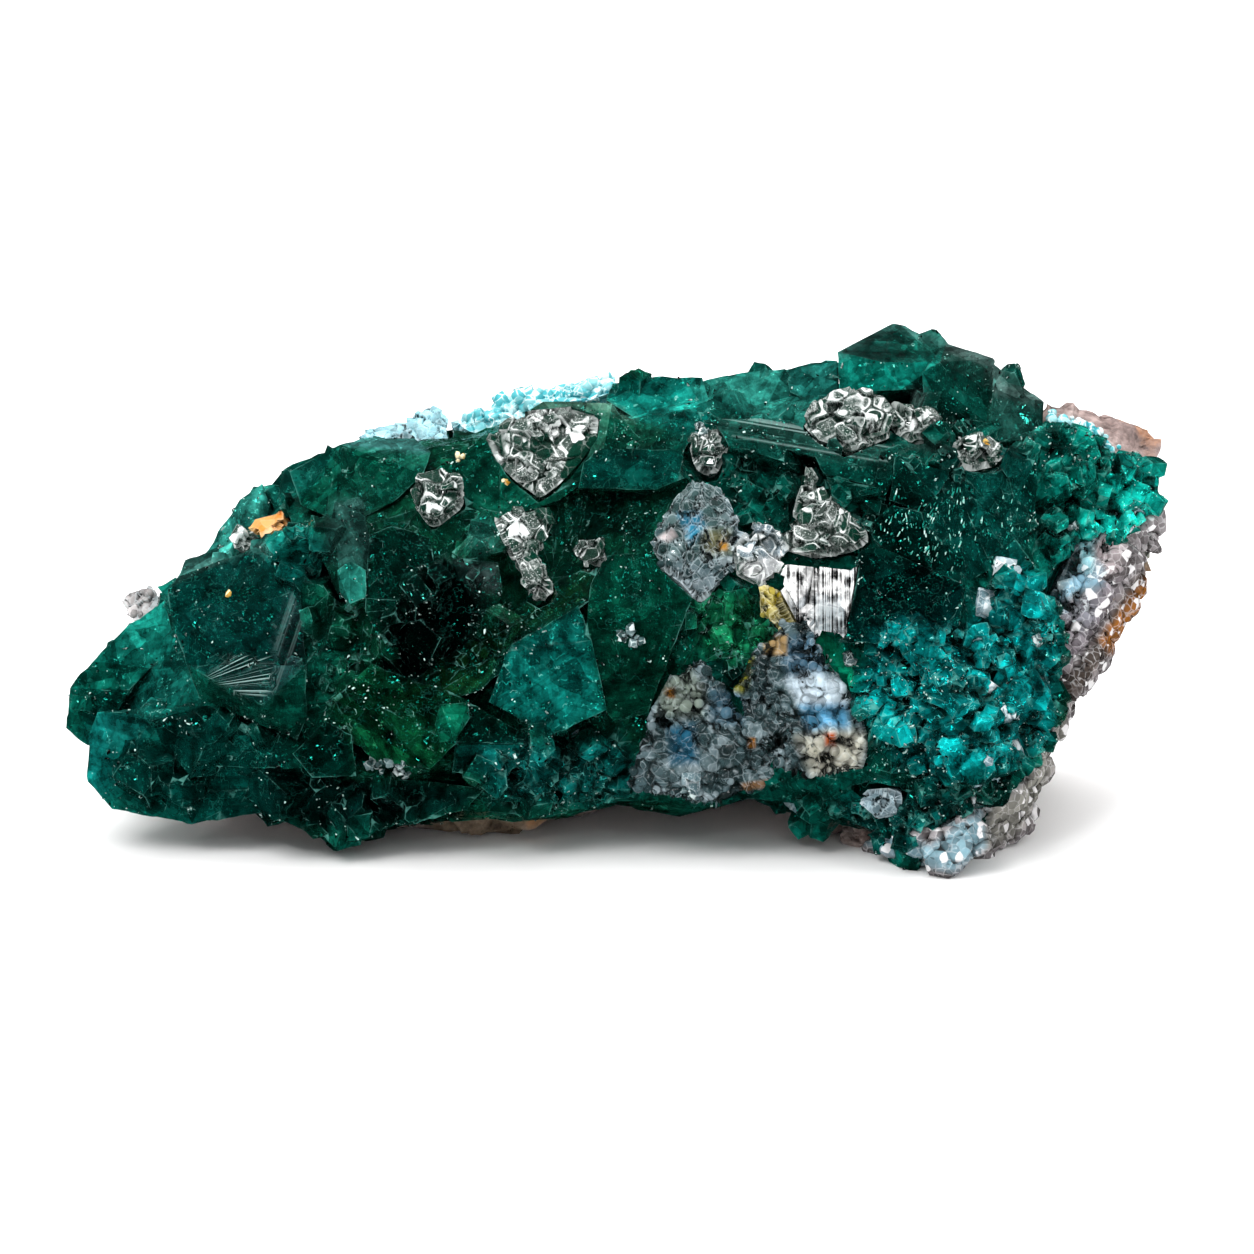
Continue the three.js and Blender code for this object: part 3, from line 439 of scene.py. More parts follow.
@dataclass(frozen=True)
class Picture:
    """The eye that the display side is seen from, and its square picture of 1254 pixels a side.

    Pixels are counted from the top left corner.
    """

    target_mm: tuple[float, float, float] = (0.283, -2.371, 12.9)
    distance_mm: float = 274.0
    look_down: float = math.radians(15)
    sensor_mm: float = 36.0
    lens_mm: float = 120.0
    pixels: float = 1254.0

    @property
    def forward(self) -> np.ndarray:
        """The direction of sight."""
        return np.array([0, math.cos(self.look_down), -math.sin(self.look_down)])

    @property
    def upward(self) -> np.ndarray:
        """The direction of the picture's upper edge."""
        return np.array([0, math.sin(self.look_down), math.cos(self.look_down)])

    @property
    def eye(self) -> np.ndarray:
        """The place that the specimen is seen from."""
        return (np.array(self.target_mm) - self.forward * self.distance_mm) * MM

    def rising(self, degrees: float) -> np.ndarray:
        """The direction that rises to the right in the picture by the angle given."""
        rise = math.radians(degrees)
        return np.array([math.cos(rise), 0, 0]) + self.upward * math.sin(rise)

    def pixels_of(self, places: np.ndarray) -> np.ndarray:
        """Finds where places show in the picture.

        Args:
            places: One place a row.

        Returns:
            The pixel of each place, across and down.
        """
        away = places - self.eye
        depth = away @ self.forward
        scale = self.pixels * self.lens_mm / self.sensor_mm
        across = self.pixels / 2 + away[:, 0] / depth * scale
        down = self.pixels / 2 - (away @ self.upward) / depth * scale
        return np.stack([across, down], axis=1)

    def sight(self, pixel: Pixel) -> Vector:
        """The unit direction of the line of sight through a pixel.

        Args:
            pixel: The pixel, across and down.

        Returns:
            The direction.
        """
        step = self.sensor_mm / self.lens_mm / self.pixels
        across = (pixel[0] - self.pixels / 2) * step
        up = (self.pixels / 2 - pixel[1]) * step
        return Vector(self.forward + np.array([across, 0, 0]) + self.upward * up).normalized()

    def add_camera(self) -> None:
        """Adds the camera and makes it the scene's."""
        data = bpy.data.cameras.new("display_camera")
        data.sensor_width = self.sensor_mm
        data.lens = self.lens_mm
        data.clip_end = 100
        camera = in_scene("display_camera", data)
        camera.location = self.eye
        camera.rotation_euler = Vector(self.forward).to_track_quat("-Z", "Y").to_euler()
        bpy.context.scene.camera = camera


PICTURE = Picture()


@dataclass(frozen=True)
class Outline:
    """A closed outline in the picture, by the pixels of its corners."""

    corners: Corners

    def distance(self, pixels: np.ndarray) -> np.ndarray:
        """Measures how far pixels are from the outline.

        Args:
            pixels: One pixel a row.

        Returns:
            The distance of each, in pixels: above zero inside and below zero outside.
        """
        inside = np.zeros(len(pixels), bool)
        nearest = np.full(len(pixels), np.inf)
        x, y = pixels[:, 0], pixels[:, 1]
        corners = np.array(self.corners, float).reshape(-1, 2)
        for (x1, y1), (x2, y2) in zip(corners, np.roll(corners, -1, axis=0)):
            side = np.array([x2 - x1, y2 - y1])
            length = max(float(side @ side), 1e-9)
            share = np.clip(((x - x1) * side[0] + (y - y1) * side[1]) / length, 0, 1)
            nearest = np.minimum(nearest, np.hypot(x - x1 - share * side[0], y - y1 - share * side[1]))
            crosses = (y1 > y) != (y2 > y)
            if y1 != y2:
                inside ^= crosses & (x < (x2 - x1) * (y - y1) / (y2 - y1) + x1)
        return np.where(inside, nearest, -nearest)

    def random_pixel(self, rng: random.Random) -> Pixel:
        """Draws a pixel inside the outline.

        Args:
            rng: The source of random numbers.

        Returns:
            The pixel, across and down.
        """
        across, down = self.corners[0::2], self.corners[1::2]
        while True:
            pixel = (rng.uniform(min(across), max(across)), rng.uniform(min(down), max(down)))
            if self.distance(np.array([pixel]))[0] > 0:
                return pixel


@dataclass(frozen=True)
class Zone:
    """An area with a colour and a surface of its own, as the display side shows it."""

    name: str
    tint: str
    corners: Corners
    soft: float = 6.0
    broken: float = 1.0
    strength: float = 1.0
    lines: float | None = None  # degrees that its growth lines rise to the right in the picture
    # painted sheen: how strongly its growth lines are whitened
    line_sheen: float = 0.0  # how white its growth lines are

    def weight(self, pixels: np.ndarray) -> np.ndarray:
        """Tells how much of the zone each pixel takes, from 0 to 1."""
        inside = Outline(self.corners).distance(pixels)
        return np.clip(0.5 + inside / (2 * self.soft), 0, 1) * self.strength


# The crust's colours by area, laid over each other in this order. The numbers after an outline
# are how many pixels the colour takes to fade at its edge, and how broken the surface is. Some
# tints are painted light: grey sheen on upward facets, and near-black shade in hollows.
ZONES = (
    Zone("left_end", "#0a5f52", (60, 560, 330, 440, 330, 850, 60, 850), 40, 0.6),
    Zone("green_middle", "#0a4a34", (310, 430, 700, 380, 700, 830, 310, 830), 40, 0.7),
    Zone("right_half", "#055448", (690, 360, 1050, 320, 1050, 870, 690, 860), 30, 0.6),
    Zone("left_lobe", "#075f50", (66, 728, 70, 688, 124, 629, 165, 600, 180, 645, 150, 668, 130, 690, 88,
        746), broken=0.6),
    Zone("lower_left_lobe", "#02352f", (87, 740, 97, 712, 152, 716, 208, 705, 297, 756, 285, 812, 192, 828,
        87, 790), broken=0.55),
    Zone("lobe_edge", "#0e807a", (84, 745, 97, 712, 122, 718, 104, 742, 102, 790, 84, 790), 10, 0.6),
    Zone("lobe_top", "#125f59", (96, 735, 125, 700, 165, 640, 200, 650, 200, 690, 150, 722, 120, 740), 14,
        0.6, strength=0.6),
    Zone("low_band", "#011c19", (267, 765, 349, 776, 430, 781, 485, 789, 467, 812, 341, 835, 255, 815),
        broken=0.55),
    Zone("left_block", "#012a26", (167, 589, 178, 576, 256, 547, 300, 583, 306, 665, 263, 706, 186, 665), 2,
        0.45),
    Zone("left_block_glow", "#054d46", (180, 600, 215, 640, 215, 668, 186, 662, 172, 620), 18, 0.5,
        strength=0.8),
    # painted sheen: grey reflection of the sky on this facet
    Zone("left_block_wing_sheen", "#1f3a3b", (292, 586, 303, 625, 303, 664, 264, 705, 270, 668, 278, 620), 2, 0.3,
        lines=72, line_sheen=0.12),
    Zone("left_block_fan", "#0c2524", (226, 655, 274, 660, 264, 702, 204, 682), 2, 0.3, line_sheen=0.95),
    Zone("left_block_bevel", "#05483a", (186, 665, 263, 706, 306, 665, 307, 720, 297, 742, 200, 700), 3,
        0.5),
    # painted sheen: grey reflection of the sky on the block's top
    Zone("left_block_cap_sheen", "#4f7f78", (185, 560, 240, 537, 270, 548, 300, 583, 256, 548, 178, 577), 3, 0.4),
    Zone("low_shard", "#001a15", (293, 754, 326, 721, 352, 735, 356, 776, 312, 778), 3, 0.5),
    Zone("green_face", "#04381f", (325, 702, 345, 688, 372, 664, 430, 688, 470, 700, 455, 745, 430, 769,
        378, 762, 348, 740), 3, 0.8),
    Zone("bright_patch", "#08634a", (434, 725, 440, 704, 468, 702, 470, 718, 455, 742, 440, 742), 5, 0.5),
    Zone("dark_facet", "#011a13", (470, 703, 545, 745, 500, 779, 452, 772, 455, 745), 3, 0.4),
    Zone("teal_block", "#0a6e66", (489, 702, 509, 645, 541, 628, 578, 606, 592, 640, 607, 710, 552, 736,
        519, 717), 7, 0.7),
    Zone("diagonal_prism", "#06220c", (600, 558, 500, 620, 440, 660, 395, 695, 405, 714, 480, 690, 515, 642,
        590, 600), 6, 0.8, lines=36),
    Zone("middle_crystal", "#023426", (605, 556, 646, 553, 697, 584, 682, 625, 665, 670, 648, 713, 615, 723,
        598, 700, 585, 640, 590, 585), 2, 0.35),
    Zone("left_peak", "#064e3c", (339, 446, 290, 472, 300, 505, 335, 520, 393, 502, 424, 474, 431, 452), 3,
        0.5),
    # painted sheen: grey reflection of the sky on the peak's top
    Zone("left_peak_top_sheen", "#3f7f7a", (339, 446, 431, 454, 415, 436, 367, 434), 2, 0.4),
    # painted sheen: grey reflection of the sky on this facet
    Zone("left_peak_foot_sheen", "#2c5650", (330, 500, 365, 495, 373, 560, 350, 570, 322, 560), 4, 0.4),
    Zone("small_teal_face", "#2b9182", (337, 570, 350, 561, 366, 570, 366, 597, 350, 604, 340, 595), 2,
        0.3),
    Zone("dark_tower", "#011c15", (369, 534, 392, 525, 430, 538, 434, 565, 428, 602, 385, 645, 365, 612), 2,
        0.5),
    # painted shade: the hollow drawn near-black
    Zone("hollow", "#000302", (385, 640, 435, 545, 500, 600, 470, 650, 400, 690), 8, 0.5),
    # painted sheen: grey reflection of the sky on this facet
    Zone("grey_facet", "#2a3837", (450, 558, 498, 562, 503, 592, 470, 590), 2, 0.3),
    Zone("oval_crystal", "#22665a", (470, 520, 488, 513, 500, 527, 496, 552, 478, 559, 465, 545), 3, 0.3),
    Zone("great_crystal", "#085642", (440, 500, 452, 460, 490, 440, 543, 401, 612, 404, 642, 440, 600, 470,
        560, 500, 500, 520), 4, 0.6),
    # painted sheen: grey reflection of the sky on the crystal's top
    Zone("great_crystal_top_sheen", "#6f9484", (520, 408, 545, 398, 615, 400, 635, 420, 600, 408), 4, 0.4,
        strength=0.7),
    Zone("shade_face", "#044039", (578, 488, 583, 462, 602, 448, 680, 450, 692, 475, 655, 490), 3, 0.4),
    # painted shade: the cavity drawn near-black
    Zone("cavity_shade", "#000302", (565, 496, 650, 488, 665, 520, 640, 540, 570, 536), 6, 0.45),
    Zone("ridge_left", "#0a7a6f", (606, 400, 612, 383, 663, 376, 702, 378, 713, 416, 690, 434, 640, 421), 3,
        0.7),
    # painted sheen: reflection of the sky on this ridge
    Zone("ridge_right_sheen", "#339a8c", (690, 384, 737, 373, 785, 369, 807, 400, 803, 434, 760, 420, 704, 402),
        3, 0.5),
    # painted sheen: grey reflection of the sky on the blade's top
    Zone("bladed_crystal", "#1e4a42", (703, 420, 762, 418, 850, 436, 893, 447, 889, 470, 838, 462, 740,
        440), 3, 0.4, lines=-10, line_sheen=0.45),
    Zone("bladed_crystal_face", "#033d34", (740, 445, 838, 462, 889, 470, 888, 490, 800, 470), 2, 0.4),
    Zone("dark_plate", "#02241f", (896, 454, 951, 473, 936, 496, 922, 512, 889, 500), 2, 0.4),
    Zone("right_prism", "#053f39", (945, 450, 1000, 440, 1038, 452, 1037, 500, 1026, 548, 968, 582, 932,
        570, 921, 513), 4, 0.5, lines=80),
    Zone("striated_prism", "#00120f", (893, 505, 922, 512, 932, 568, 880, 546, 864, 528), 3, 0.6, lines=75),
    Zone("dark_block", "#000b0a", (846, 590, 860, 550, 920, 560, 966, 585, 957, 636, 881, 643, 838, 643), 2,
        0.4),
    Zone("crown_block_top", "#084a41", (837, 352, 897, 321, 920, 334, 884, 364), 2, 0.4),
    Zone("crown_block_front", "#0e8a7a", (837, 354, 884, 364, 941, 352, 926, 388, 900, 392, 840, 394), 3,
        0.5),
    Zone("crown_slab", "#0a4b40", (946, 343, 994, 358, 997, 395, 991, 426, 960, 443, 925, 420, 930, 380), 3,
        0.4),
    Zone("crown_tip", "#2c6a60", (994, 364, 1013, 391, 1044, 402, 1043, 438, 1000, 442), 3, 0.4),
    Zone("crown_left", "#1c6a62", (785, 370, 838, 360, 839, 395, 816, 404, 790, 392), 3, 0.5),
    Zone("crown_rim_left", "#4d7a74", (832, 354, 862, 328, 897, 315, 921, 328, 946, 339, 946, 349, 920, 341,
        897, 328, 868, 340, 843, 360), 1.5, 0.2, strength=0.6),
    Zone("crown_rim_right", "#7d9693", (946, 339, 996, 353, 1004, 383, 1013, 386, 1048, 397, 1048, 410,
        1012, 399, 994, 395, 986, 366, 946, 351), 1.5, 0.2, strength=0.6),
    Zone("emerald_strip", "#0cae7c", (804, 626, 816, 625, 842, 650, 864, 692, 852, 694, 828, 662, 806, 640),
        2, 0.4),
    Zone("left_end_facet", "#158274", (109, 658, 127, 610, 166, 594, 174, 652, 145, 667), 3, 0.6,
        strength=0.8),
    # painted sheen: grey reflection on this facet
    Zone("crown_grey_facet", "#3c5450", (908, 388, 922, 380, 928, 394, 920, 408, 906, 404), 1.5, 0.2),
    # painted sheen: grey reflection on this facet
    Zone("slab_grey_facet", "#31504b", (918, 436, 948, 444, 956, 456, 930, 452, 905, 446), 1.5, 0.2),
    Zone("cluster_low", "#034a30", (868, 718, 930, 726, 975, 745, 985, 785, 930, 795, 872, 770), 10, 0.7,
        strength=0.85),
    Zone("left_ridge", "#085248", (267, 491, 284, 468, 318, 454, 337, 449, 320, 480, 275, 511), 3, 0.5),
    Zone("left_shoulder", "#42b8a9", (203, 556, 240, 500, 262, 484, 270, 505, 264, 536, 230, 556), 4, 0.7),
    Zone("left_middle", "#0c6f66", (265, 560, 270, 538, 300, 523, 326, 545, 320, 577, 290, 586), 4, 0.6),
    Zone("cluster", "#069696", (877, 640, 896, 620, 966, 630, 1018, 560, 1050, 590, 1060, 640, 1050, 740,
        990, 780, 930, 785, 880, 750, 852, 690), 8),
    Zone("cluster_foot", "#02362b", (862, 700, 930, 780, 1000, 770, 1030, 790, 960, 815, 870, 795), 14,
        strength=0.8),
    Zone("right_teal", "#088a7a", (1040, 415, 1110, 440, 1126, 470, 1110, 560, 1040, 570), 8),
    Zone("right_bright", "#16e8d4", (1122, 455, 1165, 480, 1160, 530, 1116, 535, 1080, 560, 1066, 545, 1110,
        500), 10),
    Zone("foot", "#04534f", (830, 800, 960, 790, 985, 830, 960, 870, 870, 850), 10),
    # painted shade: the hollow by the druse drawn near-black
    Zone("druse_hollow_shade", "#010f0c", (700, 640, 735, 640, 745, 690, 715, 700), 6),
    Zone("druse_green", "#1a8a5a", (700, 590, 760, 600, 785, 640, 740, 660, 700, 640), 8),
    Zone("low_teal", "#09635f", (486, 750, 620, 735, 650, 790, 600, 805, 490, 800), 10),
)


def painted(places: np.ndarray, seen: np.ndarray) -> np.ndarray:
    """Works out the crust's looks at each place.

    Places that the picture doesn't show take them from the nearest that it does, and further
    away they go over to the crust's usual looks.

    Args:
        places: One place a row.
        seen: Whether each place shows in the picture.

    Returns:
        Red, green, blue, alpha, how broken the surface is, and how strongly its lines take painted sheen.
    """
    pixels = PICTURE.pixels_of(places)
    count = len(places)
    usual = np.column_stack([usual_colours(places), np.full(count, USUAL_BROKEN), np.zeros(count)])
    looks = usual
    for zone in ZONES:
        weight = np.where(seen, zone.weight(pixels), 0)[:, None]
        looks = looks * (1 - weight) + np.array([*linear(zone.tint), zone.broken, zone.line_sheen]) * weight
    tree = nearest_tree(places, np.flatnonzero(seen))
    for index in np.flatnonzero(~seen):
        _, nearest, distance = tree.find(Vector(places[index]))
        share = min(1.0, max(0.0, (distance / MM - SPREAD_NEAR_MM) / SPREAD_FAR_MM))
        looks[index] = looks[nearest] * (1 - share) + usual[index] * share
        looks[index, 5] = 0
    return looks


SPREAD_NEAR_MM = 1.5  # how far a colour goes on past what the picture shows
SPREAD_FAR_MM = 5.0  # over how much more it fades to the usual ones
USUAL_TINTS = ("#04493f", "#0a6b5f", "#0b5a3c", "#0f8478")
USUAL_PATCH_MM = 7.0
USUAL_BROKEN = 0.7


def overlay(places: np.ndarray, zones: Sequence[Zone]) -> np.ndarray:
    """Lays areas of colour over a piece, as the display side shows them.

    Args:
        places: One place a row.
        zones: The areas.

    Returns:
        Red, green, blue, and how much of that colour covers each place.
    """
    pixels = PICTURE.pixels_of(places)
    colours = np.zeros((len(places), 3))
    cover = np.zeros(len(places))
    for zone in zones:
        weight = zone.weight(pixels)
        colours = colours * (1 - weight)[:, None] + np.array(linear(zone.tint)[:3]) * weight[:, None]
        cover = 1 - (1 - cover) * (1 - weight)
    return np.column_stack([colours / np.maximum(cover, 1e-6)[:, None], cover])


def usual_colours(places: np.ndarray) -> np.ndarray:
    """Gives dioptase's usual blue-green, in soft patches of a few millimetres.

    Args:
        places: One place a row.

    Returns:
        The colour of each.
    """
    tints = np.array([linear(tint) for tint in USUAL_TINTS])
    drift = np.array([noise.noise(Vector(place / (USUAL_PATCH_MM * MM))) for place in places])
    level = np.clip((drift * 0.5 + 0.5) * len(tints) - 0.5, 0, len(tints) - 1.001)
    lower = level.astype(int)
    share = (level - lower)[:, None]
    return tints[lower] * (1 - share) + tints[lower + 1] * share


class Habit(Enum):
    """The forms that this specimen's crystals grow in."""

    PRISM = "six-sided prism with a three-faced tip"
    RHOMB = "cleavage rhomb"
    POINT = "six-faced point"
    DROP = "rounded grain"
    CHIP = "flat chip"


@dataclass
class Nursery:
    """Models each habit a few times with uneven faces, a metre wide with its tip at the origin."""

    variants: int = 5
    prism_length: float = 1.5
    prism_slope: float = math.radians(51)
    point_slope: float = math.radians(58)
    rhomb_slope: float = math.radians(44)
    uneven: float = 0.16
    templates: dict[Habit, list[Mesh]] = field(default_factory=dict)

    def crystals(self, habit: Habit) -> list[Mesh]:
        """Gives the meshes of a habit, modelled at first use.

        Args:
            habit: The form wanted.

        Returns:
            Its variants.
        """
        if habit not in self.templates:
            rng = random.Random(len(habit.value))
            self.templates[habit] = [self._model(habit, rng) for _ in range(self.variants)]
        return self.templates[habit]

    def _model(self, habit: Habit, rng: random.Random) -> Mesh:
        """Models one crystal: a primitive cut flat by planes.

        Args:
            habit: The form wanted.
            rng: The source of random numbers.

        Returns:
            The mesh, as triangles.
        """
        cuts: list[tuple[Vector, Vector]] = []
        if habit is Habit.PRISM:
            bpy.ops.mesh.primitive_cylinder_add(vertices=6, radius=0.57, depth=self.prism_length,
                                                location=(0, 0, -self.prism_length / 2))
            cuts = self._tip(self.prism_slope, 3, rng)
            for _ in range(3):
                bearing = math.pi / 3 * rng.randrange(6)
                normal = Vector((math.cos(bearing), math.sin(bearing), 0))
                cuts.append((normal * rng.uniform(0.32, 0.46), normal))
        elif habit is Habit.POINT:
            bpy.ops.mesh.primitive_cylinder_add(vertices=6, radius=0.5, depth=1, location=(0, 0, -0.5))
            cuts = self._tip(self.point_slope, 6, rng)
        elif habit is Habit.RHOMB:
            bpy.ops.mesh.primitive_cube_add(size=2.4)
            for _, normal in self._tip(self.rhomb_slope, 3, rng):
                reach = rng.uniform(0.36, 0.56)
                cuts += [(normal * reach, normal), (-normal * reach, -normal)]
        elif habit is Habit.DROP:
            bpy.ops.mesh.primitive_ico_sphere_add(subdivisions=2, radius=0.5)
            for _ in range(3):
                normal = Vector((rng.uniform(-1, 1), rng.uniform(-1, 1), rng.uniform(-0.2, 1))).normalized()
                cuts.append((normal * rng.uniform(0.36, 0.46), normal))
        else:
            bpy.ops.mesh.primitive_cube_add(size=1)
            cuts.append((Vector((0, 0, 0.22)), Vector((rng.uniform(-0.4, 0.4), rng.uniform(-0.4, 0.4), 1))))
            for _ in range(2):
                normal = Vector((rng.uniform(-1, 1), rng.uniform(-1, 1), 0.4)).normalized()
                cuts.append((normal * rng.uniform(0.22, 0.36), normal))
        piece = bpy.context.object
        with editing(piece):
            for point, normal in cuts:
                bpy.ops.mesh.select_all(action="SELECT")
                bpy.ops.mesh.bisect(plane_co=point, plane_no=normal, use_fill=True, clear_outer=True)
            bpy.ops.mesh.select_all(action="SELECT")
            bpy.ops.mesh.remove_doubles(threshold=1e-4)
            bpy.ops.mesh.normals_make_consistent(inside=False)
            bpy.ops.mesh.quads_convert_to_tris(quad_method="BEAUTY", ngon_method="BEAUTY")
        mesh = piece.data.copy()
        bpy.data.objects.remove(piece)
        return mesh

    def _tip(self, slope: float, faces: int, rng: random.Random) -> list[tuple[Vector, Vector]]:
        """Gives the planes of a tip at the origin.

        Args:
            slope: How far their normals lean away from +Z.
            faces: How many there are.
            rng: The source of random numbers.

        Returns:
            A point and an outward normal for each plane.
        """
        cuts = []
        for side in range(faces):
            bearing = 2 * math.pi * side / faces + math.pi / 6
            normal = Vector((math.sin(slope) * math.cos(bearing), math.sin(slope) * math.sin(bearing),
                             math.cos(slope)))
            cuts.append((normal * rng.uniform(-self.uneven, 0) * 0.5, normal))
        return cuts


NURSERY = Nursery()


@dataclass(frozen=True)
class Seat:
    """Where a crystal grows: its place, the way that it points, and its size."""

    place: Vector
    axis: Vector
    roll: float
    width: float
    stretch: float = 1.0

    def matrix(self) -> Matrix:
        """The transform that takes a template to this seat."""
        turn = Vector((0, 0, 1)).rotation_difference(self.axis).to_matrix().to_4x4()
        size = Matrix.Diagonal((self.width, self.width, self.width * self.stretch, 1))
        return Matrix.Translation(self.place) @ turn @ Matrix.Rotation(self.roll, 4, "Z") @ size


def lean(axis: Vector, amount: float, rng: random.Random) -> Vector:
    """Tips an axis aside at random.

    Args:
        axis: The unit axis.
        amount: How far it may lean, as a share of its length.
        rng: The source of random numbers.

    Returns:
        The new unit axis.
    """
    aside = Vector((rng.uniform(-1, 1), rng.uniform(-1, 1), rng.uniform(-1, 1)))
    return (axis + aside * amount).normalized()


def joined_crystals(name: str, habit: Habit, seats: Sequence[Seat], rng: random.Random) -> Piece:
    """Joins a copy of a habit's crystal at every seat in one mesh, inside the solids' box.

    Args:
        name: The new piece's name.
        habit: The crystals' form.
        seats: Where they grow.
        rng: The source of random numbers.

    Returns:
        The piece. Its faces carry each crystal's own random "tone", from 0 to 1.
    """
    variants = [(places_of(mesh), triangles_of(mesh)) for mesh in NURSERY.crystals(habit)]
    places: list[np.ndarray] = []
    faces: list[np.ndarray] = []
    tones: list[np.ndarray] = []
    count = 0
    for seat in seats:
        shape, corners = rng.choice(variants)
        matrix = np.array(seat.matrix())
        places.append(shape @ matrix[:3, :3].T + matrix[:3, 3])
        faces.append(corners + count)
        tones.append(np.full(len(corners), rng.random()))
        count += len(shape)
    mesh = bpy.data.meshes.new(name)
    corners = np.concatenate(faces).ravel()
    mesh.vertices.add(count)
    mesh.vertices.foreach_set("co", keep_in_box(np.concatenate(places)).ravel())
    mesh.loops.add(corners.size)
    mesh.loops.foreach_set("vertex_index", corners)
    mesh.polygons.add(corners.size // 3)
    mesh.polygons.foreach_set("loop_start", np.arange(0, corners.size, 3))
    mesh.update(calc_edges=True)
    put_values(mesh, "tone", "FACE", np.concatenate(tones))
    put_values(mesh, "ridge", "POINT", np.zeros(count))
    if habit is Habit.DROP:
        mesh.shade_smooth()
    return in_scene(name, mesh)


def seated(
    place: Vector, normal: Vector, width_mm: float, rise: float, tilt: float, rng: random.Random,
    stretch: float = 1.0,
) -> Seat:
    """Seats a crystal on a surface.

    Args:
        place: The point of the surface.
        normal: The way that the surface faces there.
        width_mm: The crystal's width.
        rise: How far its tip stands out, as a share of its width.
        tilt: How far it leans aside.
        rng: The source of random numbers.
        stretch: Its length against its usual one.

    Returns:
        The seat.
    """
    width = width_mm * MM
    axis = lean(normal, tilt, rng)
    return Seat(place + normal * width * rise, axis, rng.uniform(0, math.tau), width, stretch)


def in_view(
    corners: Corners, count: int, tree: BVHTree, width_mm: tuple[float, float], rng: random.Random,
) -> Iterator[tuple[Vector, Vector, float]]:
    """Draws places inside an outline of the picture, and a width for the crystal at each.

    Args:
        corners: The outline's corners.
        count: How many lines of sight are tried.
        tree: The surface wanted. A place where another solid lies before it is left out.
        width_mm: The least and the greatest width. Small ones are the more common.
        rng: The source of random numbers.

    Yields:
        The place, the way that the surface faces there, and the width in millimetres.
    """
    outline = Outline(corners)
    eye = Vector(PICTURE.eye)
    least, most = width_mm
    for _ in range(count):
        sight = PICTURE.sight(outline.random_pixel(rng))
        place, normal, _, _ = tree.ray_cast(eye, sight)
        first = SOLIDS.ray_cast(eye, sight)[0]
        if place is not None and (first - place).length <= 0.1 * MM:
            yield place, normal, least + (most - least) * rng.random() ** 1.8


def faces_at_random(
    mesh: Mesh, weights: np.ndarray, draws: int, rng: random.Random,
) -> Iterator[tuple[Vector, Vector]]:
    """Draws faces of a mesh.

    Args:
        mesh: The mesh.
        weights: Each face's chance.
        draws: How many are drawn.
        rng: The source of random numbers.

    Yields:
        The middle of each face, and the way that it faces.
    """
    for index in rng.choices(range(len(weights)), weights=weights, k=draws):
        face = mesh.polygons[index]
        yield face.center.copy(), face.normal.copy()


def cells_round(places: np.ndarray, spacing_mm: float, seed: int) -> tuple[np.ndarray, ...]:
    """Finds the nearest cells of a random foam for every place.

    Args:
        places: One place a row.
        spacing_mm: The usual distance between the middles of cells.
        seed: The foam's seed.

    Returns:
        The number of each place's cell, the way from the cell's middle to the place, the distance
        of the cell's middle, and how much further the next middle is.
    """
    rng = np.random.default_rng(seed)
    spacing = spacing_mm * MM
    lows, highs = places.min(0) - spacing, places.max(0) + spacing
    steps = [np.arange(low, high, spacing) for low, high in zip(lows, highs)]
    grid = np.stack(np.meshgrid(*steps, indexing="ij"), axis=-1).reshape(-1, 3)
    middles = grid + rng.uniform(-0.48, 0.48, grid.shape) * spacing
    tree = nearest_tree(middles, range(len(middles)))
    found = [tree.find_n(Vector(place), 2) for place in places]
    cell = np.array([pair[0][1] for pair in found])
    near = np.array([pair[0][2] for pair in found])
    gap = np.array([pair[1][2] for pair in found]) - near
    return cell, places - middles[cell], near, gap


SWAY_MM = 1.2  # the size of the curves of cracks between plates
SWAY_APART = (13.7, -29.3, 47.1)  # how far apart the noise is read for the three directions
SHARPEST_BEND = 0.6  # one less the cosine of the bend at which a ridge counts in full
FACET_TURNS = 20  # how finely the ways that facets face are told apart
FACET_APART_MM = 0.2  # how finely the places of their planes are told apart


def swayed(places: np.ndarray, size_mm: float, reach_mm: float) -> np.ndarray:
    """Shifts places a little by smooth noise, so that what is drawn with them has curved edges."""
    spots = places / (size_mm * MM)
    ways = [[noise.noise(Vector(spot + apart)) for apart in SWAY_APART] for spot in spots]
    return places + np.array(ways) * reach_mm * MM


def tilted_plates(places: np.ndarray, spacing_mm: float, slope: float, seed: int) -> np.ndarray:
    """Gives the height of a broken surface made of flat plates that tilt every way.

    Args:
        places: One place a row.
        spacing_mm: The plates' usual width.
        slope: How steep they may be.
        seed: The pattern's seed.

    Returns:
        The height at each place, above and below zero.
    """
    cell, away, _, _ = cells_round(places, spacing_mm, seed)
    rng = np.random.default_rng(seed + 1)
    tilts = rng.uniform(-slope, slope, (int(cell.max()) + 1, 3))
    return np.sum(tilts[cell] * away, axis=1)


